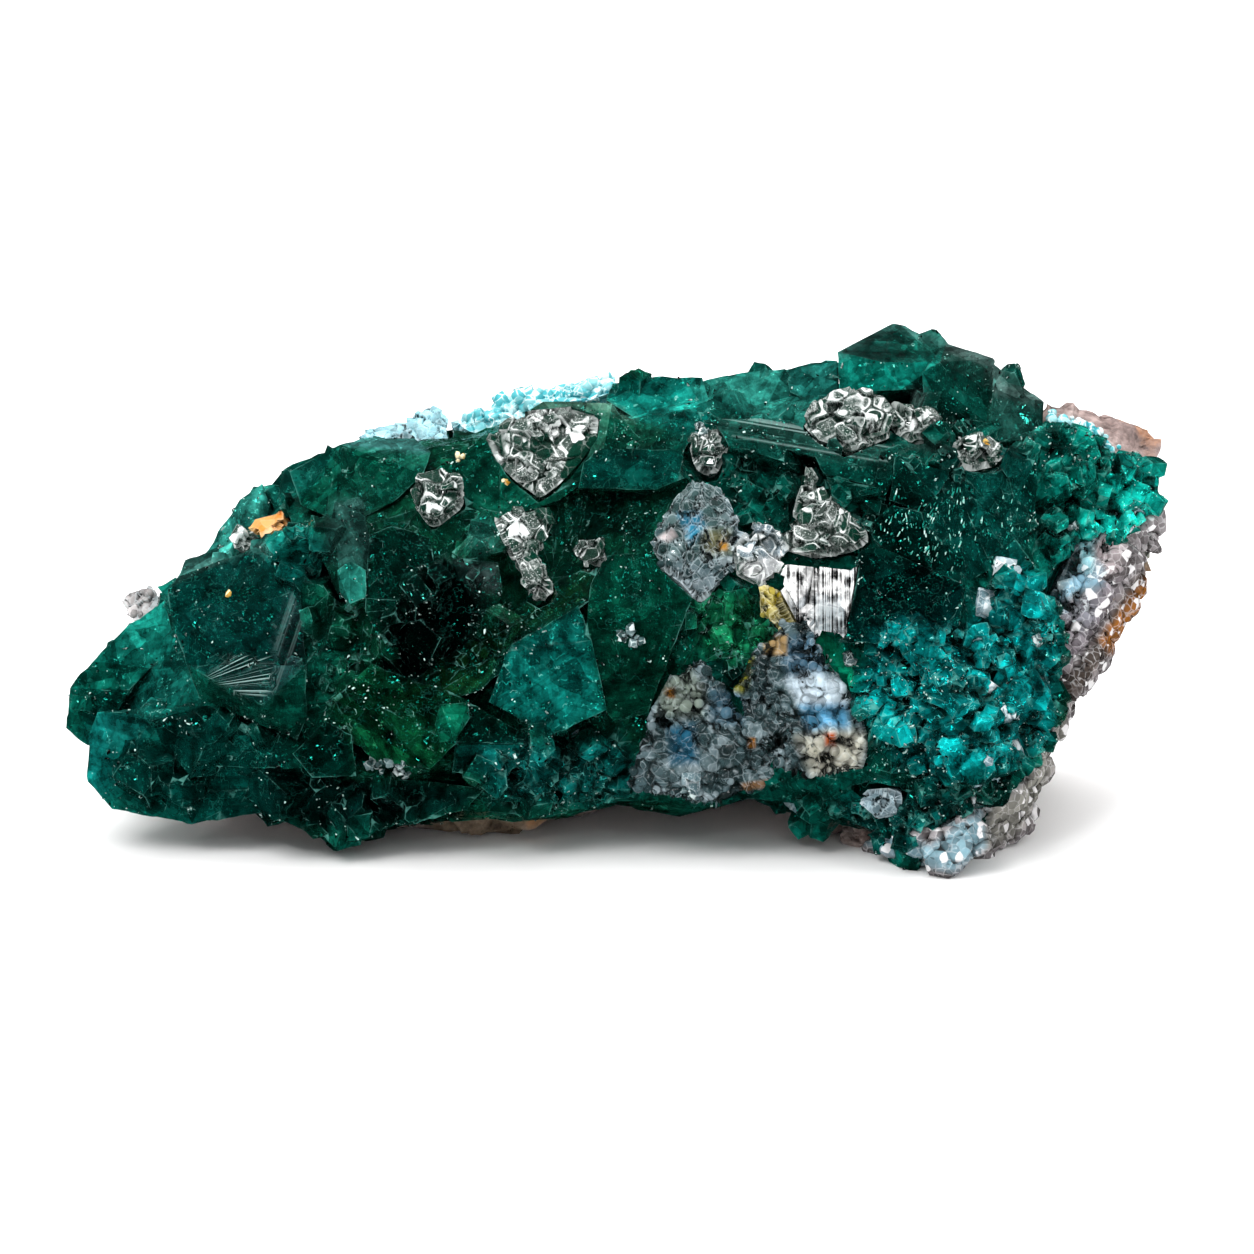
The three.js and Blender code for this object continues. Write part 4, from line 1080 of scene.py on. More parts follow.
def openness(mesh: Mesh, reach_mm: float, rays: int, tree: BVHTree) -> np.ndarray:
    """Measures how open to the light each vertex is.

    Args:
        mesh: The mesh to look at.
        reach_mm: How far away something still shades a vertex.
        rays: How many ways out are tried.
        tree: What may stand in the way.

    Returns:
        From 0 in the deepest hollows to 1 on open faces.
    """
    rng = np.random.default_rng(rays)
    ways = rng.normal(size=(rays, 3))
    ways /= np.linalg.norm(ways, axis=1)[:, None]
    reach = reach_mm * MM
    result = np.empty(len(mesh.vertices))
    for index, (place, normal) in enumerate(zip(places_of(mesh), directions_of(mesh))):
        start = Vector(place + normal * 0.03 * MM)
        total = 0.0
        for way in ways + normal * 1.05:
            hit = tree.ray_cast(start, Vector(way), reach)[3]
            total += 1.0 if hit is None else hit / reach
        result[index] = total / rays
    return result


def rough_noise(places: np.ndarray, size_mm: float, octaves: int = 3) -> np.ndarray:
    """Gives fractal noise from about -1 to 1 for each place, its largest lumps of the size given."""
    scale = 1 / (size_mm * MM)
    return np.array([noise.fractal(Vector(place * scale), 1.0, 2.1, octaves) for place in places])


def keep_in_box(places: np.ndarray) -> np.ndarray:
    """Keeps places inside the solids' box."""
    return np.clip(places, *np.array(CAD_BOX))


def ridges_of(mesh: Mesh) -> np.ndarray:
    """Measures how sharply a mesh is ridged at each vertex.

    Args:
        mesh: A mesh of triangles.

    Returns:
        0 on flats and in hollows, up to 1 on the sharpest ridges.
    """
    normals = face_normals(mesh)
    middles = middles_of(mesh)
    edge_of_corner = values_of(mesh.loops, "edge_index", kind=np.int32)
    order = np.argsort(edge_of_corner, kind="stable")
    edges, faces = edge_of_corner[order], order // 3
    pairs = np.flatnonzero(edges[:-1] == edges[1:])
    one, other = faces[pairs], faces[pairs + 1]
    bend = 1 - np.sum(normals[one] * normals[other], axis=1)
    outward = np.sum((middles[other] - middles[one]) * normals[one], axis=1) < 0
    sharp = np.where(outward, np.clip(bend / SHARPEST_BEND, 0, 1), 0)
    ridge = np.zeros(len(mesh.vertices))
    for ends in edges_of(mesh)[edges[pairs]].T:
        np.maximum.at(ridge, ends, sharp)
    return ridge


@dataclass(frozen=True)
class DioptaseFinish:
    """Dioptase, a copper silicate: natural crystal faces, glassy and a little cracked inside.

    To the eye it is deep blue-green, clear in thin edges and nearly black in its depth. Its large
    faces carry growth lines, and it glints where they are stepped and chipped. The chips are
    drawn about twice as coarse as real ones, so that they show. Its colour also carries painted
    light: shade in hollows, highlights along edges, glint flecks and sheen on the growth lines.
    """

    ior: float = 1.67
    specular_level: float = 0.4
    transmission: float = 0.25
    depth_colour: str = "#08c8a2"
    depth_per_metre: float = 2800.0
    crack_mm: float = 1.6
    step_mm: float = 0.5
    glitter_mm: float = 0.2
    tilts: tuple[float, float, float] = (0.3, 0.35, 0.9)
    cloud_mm: float = 1.7
    fleck_mm: float = 0.4
    crackle_mm: float = 0.9
    # painted glints: how much lighter than the tint the flecks are, and the colour they whiten to
    painted_glint_gain: float = 6.0
    painted_glint_colour: str = "#b4f7ec"
    stripe_rise_mm: float = 0.07
    veil_mm: float = 5.0
    veil_colour: str = "#3fae9c"
    # painted highlight: the colour along sharp edges
    edge_highlight_colour: str = "#7fd6c8"
    # painted sheen: the colour that growth lines whiten to
    line_sheen: str = "#a8c8c4"
    sheen: str = "#2fe0c8"

    def material(self) -> Material:
        """Builds the material. It reads all that the crust's surface carries.

        Returns:
            The material.
        """
        material, add = new_material("dioptase_crystal_natural")
        place = add("TexCoord").outputs["Object"]
        drift = add("TexNoise", [place, 1 / (2 * MM), 2.0])
        sway = add("VectorMath", [drift.outputs["Color"], (0.5,) * 3], operation="SUBTRACT")
        bent = add("VectorMath", [sway, (0.8 * MM,) * 3, place], operation="MULTIPLY_ADD")
        clouds = add("TexNoise", [bent, 1 / (self.cloud_mm * MM), 5.0, 0.7])
        fan = add("Attribute", attribute_name="fan").outputs["Fac"]
        stripes = stripes_across(add, place, 0.7, fan)
        height, cells = self._steps(add, bent, clouds)
        rise = add("Math", [stripes, self.stripe_rise_mm * MM, height], operation="MULTIPLY_ADD")
        bump = add("Bump", {"Height": rise, "Distance": 1.0, "Strength": 0.75})
        body = self._body(add, cells, clouds, stripes)
        base = self._edged(add, bent, clouds, self._glints_and_cracks(add, place, clouds, body))
        gloss = add("MapRange", [cells[2].outputs["Blue"], 0.0, 1.0, 0.02, 0.13])
        surface = add("BsdfPrincipled", {
            "Base Color": base, "Roughness": gloss, "IOR": self.ior, "Normal": bump,
            "Specular IOR Level": self.specular_level, "Specular Tint": linear(self.sheen),
            "Transmission Weight": self.transmission,
        })
        inside = add("VolumeAbsorption", [linear(self.depth_colour), self.depth_per_metre])
        add("OutputMaterial", {"Surface": surface, "Volume": inside})
        return material

    def _steps(self, add: AddNode, bent: Node, clouds: Node) -> tuple[Node, list[Node]]:
        """Breaks the faces in tilted flats: cracks, steps, and chips where the clouds are light.

        Args:
            add: What adds a node.
            bent: The place on the object, swayed a little.
            clouds: The cloudiness inside.

        Returns:
            The height, and the random colour of the flat that each place lies in, by size.
        """
        chipped = add("MapRange", [clouds, 0.48, 0.62, 0.12, 1.0])
        height: Any = 0.0
        cells = []
        for size_mm, tilt in zip((self.crack_mm, self.step_mm, self.glitter_mm), self.tilts):
            foam = add("TexVoronoi", [bent, 1 / (size_mm * MM)])
            rise = tilted_flats(add, foam, bent)
            if size_mm == self.glitter_mm:
                rise = add("Math", [rise, chipped], operation="MULTIPLY")
            height = add("Math", [rise, tilt, height], operation="MULTIPLY_ADD")
            cells.append(add("SeparateColor", [foam.outputs["Color"]]))
        return height, cells

    def _body(self, add: AddNode, cells: Sequence[Node], clouds: Node, stripes: Node) -> Node:
        """Lightens and darkens the tint by facet, flat, cloud and line, darkens it in hollows as painted
        shade, and whitens lines as painted sheen.

        Args:
            add: What adds a node.
            cells: The random colours of the flats.
            clouds: The cloudiness inside.
            stripes: The growth lines.

        Returns:
            The colour.
        """
        names = ("tone", "open", "wear", "line_sheen")
        tone, open_to_light, wear, line_sheen = [
            add("Attribute", attribute_name=name).outputs["Fac"] for name in names
        ]
        darkest = add("MapRange", [wear, 0.0, 1.0, 0.4, 0.08])
        lightest = add("MapRange", [wear, 0.0, 1.0, 1.2, 1.7])
        level: Any = 1.0
        for row in (
            [tone, 0.0, 1.0, 0.45, 1.45],
            [cells[0].outputs["Red"], 0.0, 1.0, 0.45, 1.35],
            [cells[1].outputs["Green"], 0.0, 1.0, 0.6, 1.3],
            [clouds, 0.38, 0.66, darkest, lightest],
            [stripes, 0.3, 0.7, 0.55, 1.35],
            # painted shade: darker where the crust is less open to the light
            [open_to_light, 0.25, 0.95, 0.03, 1.1],
        ):
            level = add("Math", [add("MapRange", row), level], operation="MULTIPLY")
        tint = add("Attribute", attribute_name="tint")
        body = add("VectorMath", [tint, level], operation="SCALE")
        # painted sheen: growth lines whitened
        line = add("MapRange", [stripes, 0.54, 0.64, 0.0, line_sheen])
        return add("Mix", [line, body, linear(self.line_sheen)], data_type="RGBA")

    def _glints_and_cracks(self, add: AddNode, place: Socket, clouds: Node, body: Node) -> Node:
        """Strews painted glints, as light flecks, and short bright cracks where the clouds are light.

        Args:
            add: What adds a node.
            place: The place on the object.
            clouds: The cloudiness inside.
            body: The colour without flecks.

        Returns:
            The colour with them.
        """
        wear = add("Attribute", attribute_name="wear").outputs["Fac"]
        # painted glints: small light flecks in some cells of this foam
        foam = add("TexVoronoi", [place, 1 / (self.fleck_mm * MM)])
        cell = add("SeparateColor", [foam.outputs["Color"]])
        spot_there = add("MapRange", [foam, 0.08, 0.2, 1.0, 0.0])
        curls = add("TexNoise", [place, 1 / (self.crackle_mm * MM), 3.0])
        crackle = lines_near(add, curls, 0.5, 0.003, 0.016, wear)
        cover = add("Math", [spot_there, crackle], operation="MAXIMUM")
        least = add("MapRange", [wear, 0.0, 1.0, 0.8, 0.6])
        chosen = add("Math", [cell, least], operation="GREATER_THAN")
        light = add("MapRange", [clouds, 0.45, 0.58, 0.0, 0.9])
        for share in (chosen, light):
            cover = add("Math", [cover, share], operation="MULTIPLY")
        tint = add("Attribute", attribute_name="tint")
        lit = add("VectorMath", [tint, self.painted_glint_gain], operation="SCALE")
        whiter = add("Math", [cell.outputs["Green"], 3.0], operation="POWER")
        painted_glint = add("Mix", [whiter, lit, linear(self.painted_glint_colour)], data_type="RGBA")
        return add("Mix", [cover, body, painted_glint], data_type="RGBA")

    def _edged(self, add: AddNode, bent: Node, clouds: Node, body: Node) -> Node:
        """Draws thin veils inside, and a painted highlight in broken lines along the edges between faces.

        Args:
            add: What adds a node.
            bent: The place on the object, swayed a little.
            clouds: The cloudiness inside.
            body: The colour without them.

        Returns:
            The colour with them.
        """
        veil = add("TexNoise", [bent, 1 / (self.veil_mm * MM), 5.0, 0.6])
        line = lines_near(add, veil, 0.5, 0.0, 0.005, 0.12)
        veiled = add("Mix", [line, body, linear(self.veil_colour)], data_type="RGBA")
        # painted highlight along the sharpest edges, where the clouds are light
        ridge = add("Attribute", attribute_name="ridge").outputs["Fac"]
        edge = add("Math", [ridge, 12.0], operation="POWER")
        highlight_share = add("MapRange", [clouds, 0.47, 0.6, 0.04, 0.42])
        edge_highlight = add("Math", [edge, highlight_share], operation="MULTIPLY")
        return add("Mix", [edge_highlight, veiled, linear(self.edge_highlight_colour)], data_type="RGBA")


# painted highlight: a light band set back from each crack
HIGHLIGHT_RIM_GAP = 0.15  # how far from a crack its white rim lies, in grains


@dataclass(frozen=True)
class ClearFinish:
    """A clear or frosted crystal, as calcite and quartz are: glassy faces over cracks inside.

    To the eye it is grey glass netted with white cracks, with some of its grains white all over.
    Its colour also carries painted shade in hollows and painted highlights along edges and cracks.
    """

    name: str
    ior: float
    colours: tuple[str, ...]
    frost: str
    transmission: float
    web_mm: float = 0.7
    web_width: float = 0.09
    web_strength: float = 0.9
    frost_cover: float = 0.12
    roughness: tuple[float, float] = (0.03, 0.25)
    grain_mm: float = 0.35
    tilt: float = 0.35
    # painted shade: the colour taken in hollows
    hollow_shade: str = "#0f1a1a"
    striped: float = 0.0
    grit: float = 0.0
    dot_mm: float = 0.15
    # painted highlight: how white the rim beside each crack is
    window: float = 0.0
    rim: float = 0.0
    grain_share: float = 1.0

    def material(self) -> Material:
        """Builds the material. It reads all that a patch's surface carries.

        Returns:
            The material.
        """
        material, add = new_material(self.name)
        place = add("TexCoord").outputs["Object"]
        mottle = add("TexNoise", [place, 1 / (0.9 * MM), 4.0])
        sway = add("VectorMath", [mottle.outputs["Color"], (0.35 * MM,) * 3, place], operation="MULTIPLY_ADD")
        web = add("TexVoronoi", [sway, 1 / (self.web_mm * MM)], feature="DISTANCE_TO_EDGE")
        grains = add("TexVoronoi", [sway, 1 / (self.web_mm * MM)])
        grain = add("SeparateColor", [grains.outputs["Color"]])
        white = self._white(add, web, grain, mottle)
        stripes = stripes_across(add, place, 0.8)
        frosted = add("Mix", [white, self._colour(add, grain, mottle), linear(self.frost)], data_type="RGBA")
        uneven = add("Math", [mottle, 0.9, stripes], operation="MULTIPLY_ADD")
        level = add("MapRange", [uneven, 0.8, 1.02, 1.0 - self.striped, 1.1])
        base = add("VectorMath", [frosted, level], operation="SCALE")
        # painted shade: towards the hollow shade colour where the piece is less open to the light
        open_to_light = add("Attribute", attribute_name="open").outputs["Fac"]
        depth = add("MapRange", [open_to_light, 0.3, 0.85, 0.95, 0.0])
        shaded = add("Mix", [depth, base, linear(self.hollow_shade)], data_type="RGBA")
        clear = add("MapRange", [white, 0.0, 1.0, self.transmission, 0.05])
        gloss = add("MapRange", [grain.outputs["Blue"], 0.0, 1.0, *self.roughness])
        foam = add("TexVoronoi", [place, 1 / (self.grain_mm * MM)])
        tilted = add("Math", [tilted_flats(add, foam, place), self.tilt], operation="MULTIPLY")
        height = add("Math", [stripes, 0.08 * MM, tilted], operation="MULTIPLY_ADD")
        bump = add("Bump", {"Height": height, "Distance": 1.0, "Strength": 0.9})
        surface = add("BsdfPrincipled", {
            "Base Color": shaded, "Roughness": gloss, "IOR": self.ior, "Transmission Weight": clear,
            "Normal": bump,
        })
        add("OutputMaterial", {"Surface": surface})
        return material

    def _white(self, add: AddNode, gap: Node, grain: Node, mottle: Node) -> Node:
        """Finds where the crystal is white: along cracks and in some grains, and as painted highlight along
        edges and in a rim beside each crack.

        Args:
            add: What adds a node.
            gap: How far each place is from the nearest crack, in grains.
            grain: The random colour of each grain.
            mottle: Soft noise.

        Returns:
            From 0 where it is clear to 1 where it is white.
        """
        place = add("TexCoord").outputs["Object"]
        tone, beside, ridge = [
            add("Attribute", attribute_name=name).outputs["Fac"] for name in ("tone", "gap", "ridge")
        ]
        patchy = add("MapRange", [mottle, 0.38, 0.55, 0.15, 1.0])
        line = add("MapRange", [gap, 0.3 * self.web_width, self.web_width, self.web_strength, 0.0])
        chosen = add("Math", [grain, 1 - self.frost_cover], operation="GREATER_THAN")
        dots = add("TexVoronoi", [place, 1 / (self.dot_mm * MM)])
        dotted = add("MapRange", [dots, 0.16, 0.36, self.grit, 0.0])
        frosted = add("Math", [tone, self.window], operation="GREATER_THAN")
        # painted highlight: a white rim beside the cracks, and white along the sharpest edges
        rim = lines_near(add, beside, HIGHLIGHT_RIM_GAP, 0.035, 0.07, self.rim)
        white = add("Math", [ridge, 3.0], operation="POWER")
        for pair in ((line, patchy), (chosen, 0.9), (dotted, frosted), (rim, patchy)):
            part = add("Math", pair, operation="MULTIPLY")
            white = add("Math", [white, part], operation="MAXIMUM")
        return white

    def _colour(self, add: AddNode, grain: Node, mottle: Node) -> Node:
        """Picks each grain's colour, and lays the piece's own tints over it.

        Args:
            add: What adds a node.
            grain: The random colour of each grain.
            mottle: Soft noise.

        Returns:
            The colour.
        """
        tone = add("Attribute", attribute_name="tone").outputs["Fac"]
        pick = add("Math", [grain.outputs["Green"], self.grain_share, tone], operation="MULTIPLY_ADD")
        pick = add("Math", [mottle, 1.4, pick], operation="MULTIPLY_ADD")
        share = add("MapRange", [pick, 0.9, 2.5])
        ramp = add("ValToRGB", [share])
        put_stops(ramp.color_ramp, self.colours, 0.0, 1.0)
        tint = add("Attribute", attribute_name="tint")
        level = add("MapRange", [share, 0.0, 1.0, 0.45, 1.8])
        shade = add("VectorMath", [tint, level], operation="SCALE")
        return add("Mix", [tint.outputs["Alpha"], ramp, shade], data_type="RGBA")


@dataclass(frozen=True)
class RockFinish:
    """Fine-grained quartz rock, broken: dull, pinkish grey, with brown and ochre iron stain."""

    colours: tuple[str, ...] = ("#4d3f39", "#8b7770", "#b9a8a3", "#d8ccc8")
    stain: str = "#b0702c"
    # painted shade: the colour of the rock's hollows
    hollow_shade_colour: str = "#3b2f26"
    ior: float = 1.54

    def material(self) -> Material:
        """Builds the material. It reads the rock's tint, stain and hollow attributes, and darkens the hollows
        as painted shade.

        Returns:
            The material.
        """
        material, add = new_material("host_rock_broken")
        place = add("TexCoord").outputs["Object"]
        tint = add("Attribute", attribute_name="tint")
        stain, shade = [add("Attribute", attribute_name=name).outputs["Fac"] for name in ("stain", "hollow")]
        lumps = add("TexNoise", [place, 1 / (2.2 * MM), 8.0, 0.7])
        grit = add("TexVoronoi", [place, 1 / (0.45 * MM)])
        grain = add("SeparateColor", [grit.outputs["Color"]])
        drift = add("TexNoise", [place, 1 / (9 * MM), 5.0])
        fine = add("MapRange", [grain, 0.0, 1.0, 0.6, 1.2])
        broad = add("MapRange", [drift, 0.36, 0.62, 0.45, 1.05])
        ramp = add("ValToRGB", [lumps])
        put_stops(ramp.color_ramp, self.colours, 0.3, 0.4)
        level = add("Math", [fine, broad], operation="MULTIPLY")
        body = add("VectorMath", [ramp, level], operation="SCALE")
        bright = add("MapRange", [lumps, 0.3, 0.7, 0.35, 1.7])
        toned = add("VectorMath", [tint, bright], operation="SCALE")
        toned = add("Mix", [tint.outputs["Alpha"], body, toned], data_type="RGBA")
        patchy = add("Math", [stain, lumps], operation="MULTIPLY")
        cover = add("MapRange", [patchy, 0.2, 0.4, 0.0, 0.9])
        stained = add("Mix", [cover, toned, linear(self.stain)], data_type="RGBA")
        # painted shade: darker in the hollows
        base = add("Mix", [shade, stained, linear(self.hollow_shade_colour)], data_type="RGBA")
        heights = add("Math", [lumps, grit], operation="SUBTRACT")
        bump = add("Bump", {"Height": heights, "Distance": 0.25 * MM, "Strength": 0.8})
        gloss = add("MapRange", [grain.outputs["Green"], 0.7, 1.0, 0.85, 0.25])
        surface = add("BsdfPrincipled", {
            "Base Color": base, "Roughness": gloss, "IOR": self.ior, "Normal": bump,
        })
        add("OutputMaterial", {"Surface": surface})
        return material


CALCITE = ClearFinish(
    name="calcite_cleavage", ior=1.58, colours=("#0b4e3c", "#35584c", "#7c8a84", "#e6edea"), frost="#f8fcfb",
    transmission=0.6, web_mm=0.9, web_width=0.05, web_strength=0.25, frost_cover=0.05, tilt=0.14,
    grain_mm=0.6, hollow_shade="#06271d", grit=0.65, window=0.4, rim=0.9, grain_share=0.35,
)
QUARTZ = ClearFinish(
    name="quartz_druse_natural", ior=1.544, colours=("#17292b", "#3a5256", "#6b8289", "#b9c8cf"),
    frost="#dbe9ee", transmission=0.45, web_mm=0.9, web_width=0.04, web_strength=0.25, frost_cover=0.0,
    tilt=0.25, hollow_shade="#0a1716", rim=0.3,
)
PEARLY = ClearFinish(
    name="pearly_cleavage", ior=1.58, colours=("#8f989f", "#dfe4e8", "#ffffff"), frost="#ffffff",
    transmission=0.1, web_strength=0.2, frost_cover=0.3, tilt=0.6, striped=1.0,
)
YELLOW = ClearFinish(
    name="yellow_green_crystal", ior=1.7, colours=("#665c08", "#b39c1c", "#f0dc5c"), frost="#fdf8d0",
    transmission=0.5, web_strength=0.15, frost_cover=0.06, tilt=0.15, hollow_shade="#2a2c05", rim=0.5,
)
CYAN = ClearFinish(
    name="chrysocolla_frosted", ior=1.5, colours=("#2fa9b4", "#6fd3dc", "#b8f0f4"), frost="#effdfd",
    transmission=0.25, frost_cover=0.12, tilt=0.2, hollow_shade="#2c9aa6", rim=0.6,
)
ORANGE = ClearFinish(
    name="wulfenite_plate", ior=2.3, colours=("#e8821f", "#f79f3c", "#ffbe74"), frost="#ffd9a8",
    transmission=0.2, web_strength=0.25, frost_cover=0.0,
)
GOLD = ClearFinish(
    name="iron_stained_quartz", ior=1.55, colours=("#8a5a14", "#d09a32", "#f3d58a"), frost="#fff1c8",
    transmission=0.2, frost_cover=0.2,
)
SILVER = ClearFinish(
    name="quartz_chips_bright", ior=1.55, colours=("#16302d", "#446060", "#8ba3a6"), frost="#dfeeee",
    transmission=0.3, web_mm=0.4, web_strength=0.6, frost_cover=0.12,
)
EDGE = ClearFinish(
    name="quartz_edge_beads", ior=1.55, colours=("#3d3836", "#7c7678", "#b4aeb0"), frost="#f0eeef",
    transmission=0.2, web_mm=0.5, web_strength=0.35, frost_cover=0.08, hollow_shade="#1a1513",
)
PALE = ClearFinish(
    name="quartz_plates_pale", ior=1.55, colours=("#4d6c74", "#8fb0bb", "#cfe2e8"), frost="#eef7fa",
    transmission=0.25, web_mm=0.5, web_strength=0.5, frost_cover=0.15, grit=0.4,
)
# painted glints: pale chips and dust whose light colour stands in for glints
GLINT_DUST = ClearFinish(
    name="crystal_dust_painted_glints", ior=1.6, colours=("#0c6658", "#2aac98", "#a4f2e2"), frost="#dcfff8",
    transmission=0.1, frost_cover=0.06,
)


def dress(piece: Piece, material: Material, slot: str, *nodes: str) -> None:
    """Gives a finished piece its material, its body and the solids that it stands for.

    Args:
        piece: The finished piece.
        material: Its material.
        slot: The record's material slot. Not used.
        *nodes: The solids that it replaces.
    """
    piece.data.materials.clear()
    piece.data.materials.append(material)
    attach(piece, "root")
    if nodes:
        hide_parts(*nodes)
    LOG.info("%s: %d faces", piece.name, len(piece.data.polygons))


@dataclass(frozen=True)
class Growth:
    """A stand of small dioptase crystals inside an outline of the picture."""

    name: str
    corners: Corners
    count: int
    width_mm: tuple[float, float]
    rise: tuple[float, float]
    tilt: float = 0.6


@dataclass
class Crust:
    """The dioptase: one crust of crystals grown together, with smaller ones between them."""

    growths: tuple[Growth, ...] = (
        Growth("cluster", (877, 640, 896, 620, 966, 630, 1018, 560, 1050, 590, 1060, 640, 1050, 740, 1000,
            790, 930, 790, 880, 750, 852, 690), 320, (0.6, 2.0), (0.0, 0.3)),
        Growth("right_teals", (1040, 425, 1090, 440, 1120, 455, 1150, 468, 1160, 500, 1140, 530, 1090, 562,
            1045, 566), 120, (0.7, 2.2), (0.0, 0.3)),
        Growth("foot", (760, 800, 870, 800, 960, 795, 985, 830, 940, 865, 860, 845), 80, (0.7, 2.2), (0.0,
            0.3)),
        Growth("low_middle", (470, 770, 500, 745, 620, 740, 650, 790, 600, 802, 500, 805), 60, (0.7, 2.4),
            (0.0, 0.3)),
        Growth("hollow", (385, 610, 435, 545, 520, 560, 500, 640, 420, 690, 380, 680), 20, (0.8, 3.2),
            (-0.05, 0.2)),
        Growth("left_middle", (262, 505, 335, 500, 340, 600, 300, 590, 265, 560), 16, (0.8, 3.2), (-0.1,
            0.15)),
        Growth("above_block", (300, 590, 365, 590, 380, 650, 340, 700, 310, 690), 12, (0.8, 3.2), (-0.05,
            0.15)),
        Growth("left_lobes", (80, 700, 130, 640, 180, 650, 230, 700, 300, 750, 290, 810, 190, 820, 90, 790),
            10, (2.0, 4.5), (-0.25, 0.0)),
        Growth("low_band", (260, 780, 490, 785, 470, 812, 330, 830), 12, (1.2, 3.6), (-0.15, 0.05)),
        Growth("under_star", (690, 560, 760, 600, 790, 650, 740, 690, 700, 640), 36, (0.6, 1.9), (0.0,
            0.3)),
        Growth("round_fan", (725, 455, 890, 500, 870, 545, 790, 560, 735, 520), 56, (0.6, 1.9), (0.0, 0.3)),
        Growth("crown_foot", (900, 395, 1035, 440, 1040, 470, 960, 480, 900, 450), 36, (0.6, 2.2), (0.0,
            0.3)),
    )
    patch_room: float = 0.45  # how near a patch a crystal may stand, as a share of its width
    unseen_count: int = 240
    unseen_width_mm: tuple[float, float] = (0.8, 2.0)
    unseen_rise: tuple[float, float] = (-0.1, 0.12)
    rock_end_mm: tuple[float, float] = (24.0, 19.0)
    lowest_mm: float = 3.5
    shade_mm: float = 2.6
    shade_rays: int = 9
    finest_mm: float = 0.64
    jitter_mm: float = 0.04
    sunk_mm: float = 0.02
    plate_mm: float = 1.3
    plate_slope: float = 0.16
    facet_share: float = 0.35
    calm_mm2: float = 5.0
    line_mm: float = 0.7
    lined_mm2: float = 5.0
    seed: int = 7

    def build(self) -> Piece:
        """Builds the crust and dresses it.

        Returns:
            The crust.
        """
        rng = random.Random(self.seed)
        piece = merged_copy("dioptase_crust", "dioptase_crystals")
        self._grow(piece, rng)
        split_long_edges(piece, 2 * self.finest_mm, 6)
        split_long_edges(piece, self.finest_mm, 2, outer=True)
        self._finish_surface(piece)
        dress(piece, DioptaseFinish().material(), "dioptase", "dioptase_crust")
        return piece

    def _grow(self, piece: Piece, rng: random.Random) -> None:
        """Joins the small crystals to the crust in one solid.

        Args:
            piece: The crust.
            rng: The source of random numbers.
        """
        stand = bpy.data.collections.new("small_crystals")
        bpy.context.scene.collection.children.link(stand)
        seats = [seat for growth in self.growths for seat in self._seats(growth, rng)]
        seats += self._unseen_seats(piece.data, rng)
        seats = [
            seat for seat in seats
            if PATCH_TREE.find_nearest(seat.place, self.patch_room * seat.width)[0] is None
        ]
        for seat in seats:
            mesh = rng.choice(NURSERY.crystals(Habit.PRISM)).copy()
            mesh.transform(seat.matrix())
            crystal = bpy.data.objects.new("small_crystal", mesh)
            stand.objects.link(crystal)
        union = piece.modifiers.new("grown_together", "BOOLEAN")
        union.operation = "UNION"
        union.operand_type = "COLLECTION"
        union.collection = stand
        union.solver = "MANIFOLD"
        bpy.context.view_layer.objects.active = piece
        bpy.ops.object.modifier_apply(modifier=union.name)
        for crystal in list(stand.objects):
            bpy.data.objects.remove(crystal)
        bpy.data.collections.remove(stand)
        LOG.info("crust: %d small crystals, %d faces", len(seats), len(piece.data.polygons))

    def _seats(self, growth: Growth, rng: random.Random) -> list[Seat]:
        """Seats the crystals of one growth where lines of sight meet the crust.

        Args:
            growth: The growth.
            rng: The source of random numbers.

        Returns:
            Their seats.
        """
        found = in_view(growth.corners, growth.count, CRUST_TREE, growth.width_mm, rng)
        return [
            seated(place, normal, width, rng.uniform(*growth.rise), growth.tilt, rng)
            for place, normal, width in found
        ]

    def _unseen_seats(self, mesh: Mesh, rng: random.Random) -> list[Seat]:
        """Seats crystals on the top, the ends and the back, where the picture doesn't show them.

        Args:
            mesh: The crust's mesh.
            rng: The source of random numbers.

        Returns:
            Their seats.
        """
        seats: list[Seat] = []
        for place, normal in faces_at_random(mesh, face_areas(mesh), 40 * self.unseen_count, rng):
            if len(seats) == self.unseen_count:
                break
            start = place + normal * 0.05 * MM
            is_open = SOLIDS.ray_cast(start, normal, 4 * MM)[0] is None
            toward_eye = (Vector(PICTURE.eye) - place).normalized()
            is_seen = SOLIDS.ray_cast(start, toward_eye)[0] is None and normal.dot(toward_eye) > 0
            at_rock = place.x > self.rock_end_mm[0] * MM and place.z < self.rock_end_mm[1] * MM
            if is_open and not is_seen and not at_rock and place.z > self.lowest_mm * MM:
                width = rng.uniform(*self.unseen_width_mm)
                seats.append(seated(place, normal, width, rng.uniform(*self.unseen_rise), 0.6, rng))
        return seats

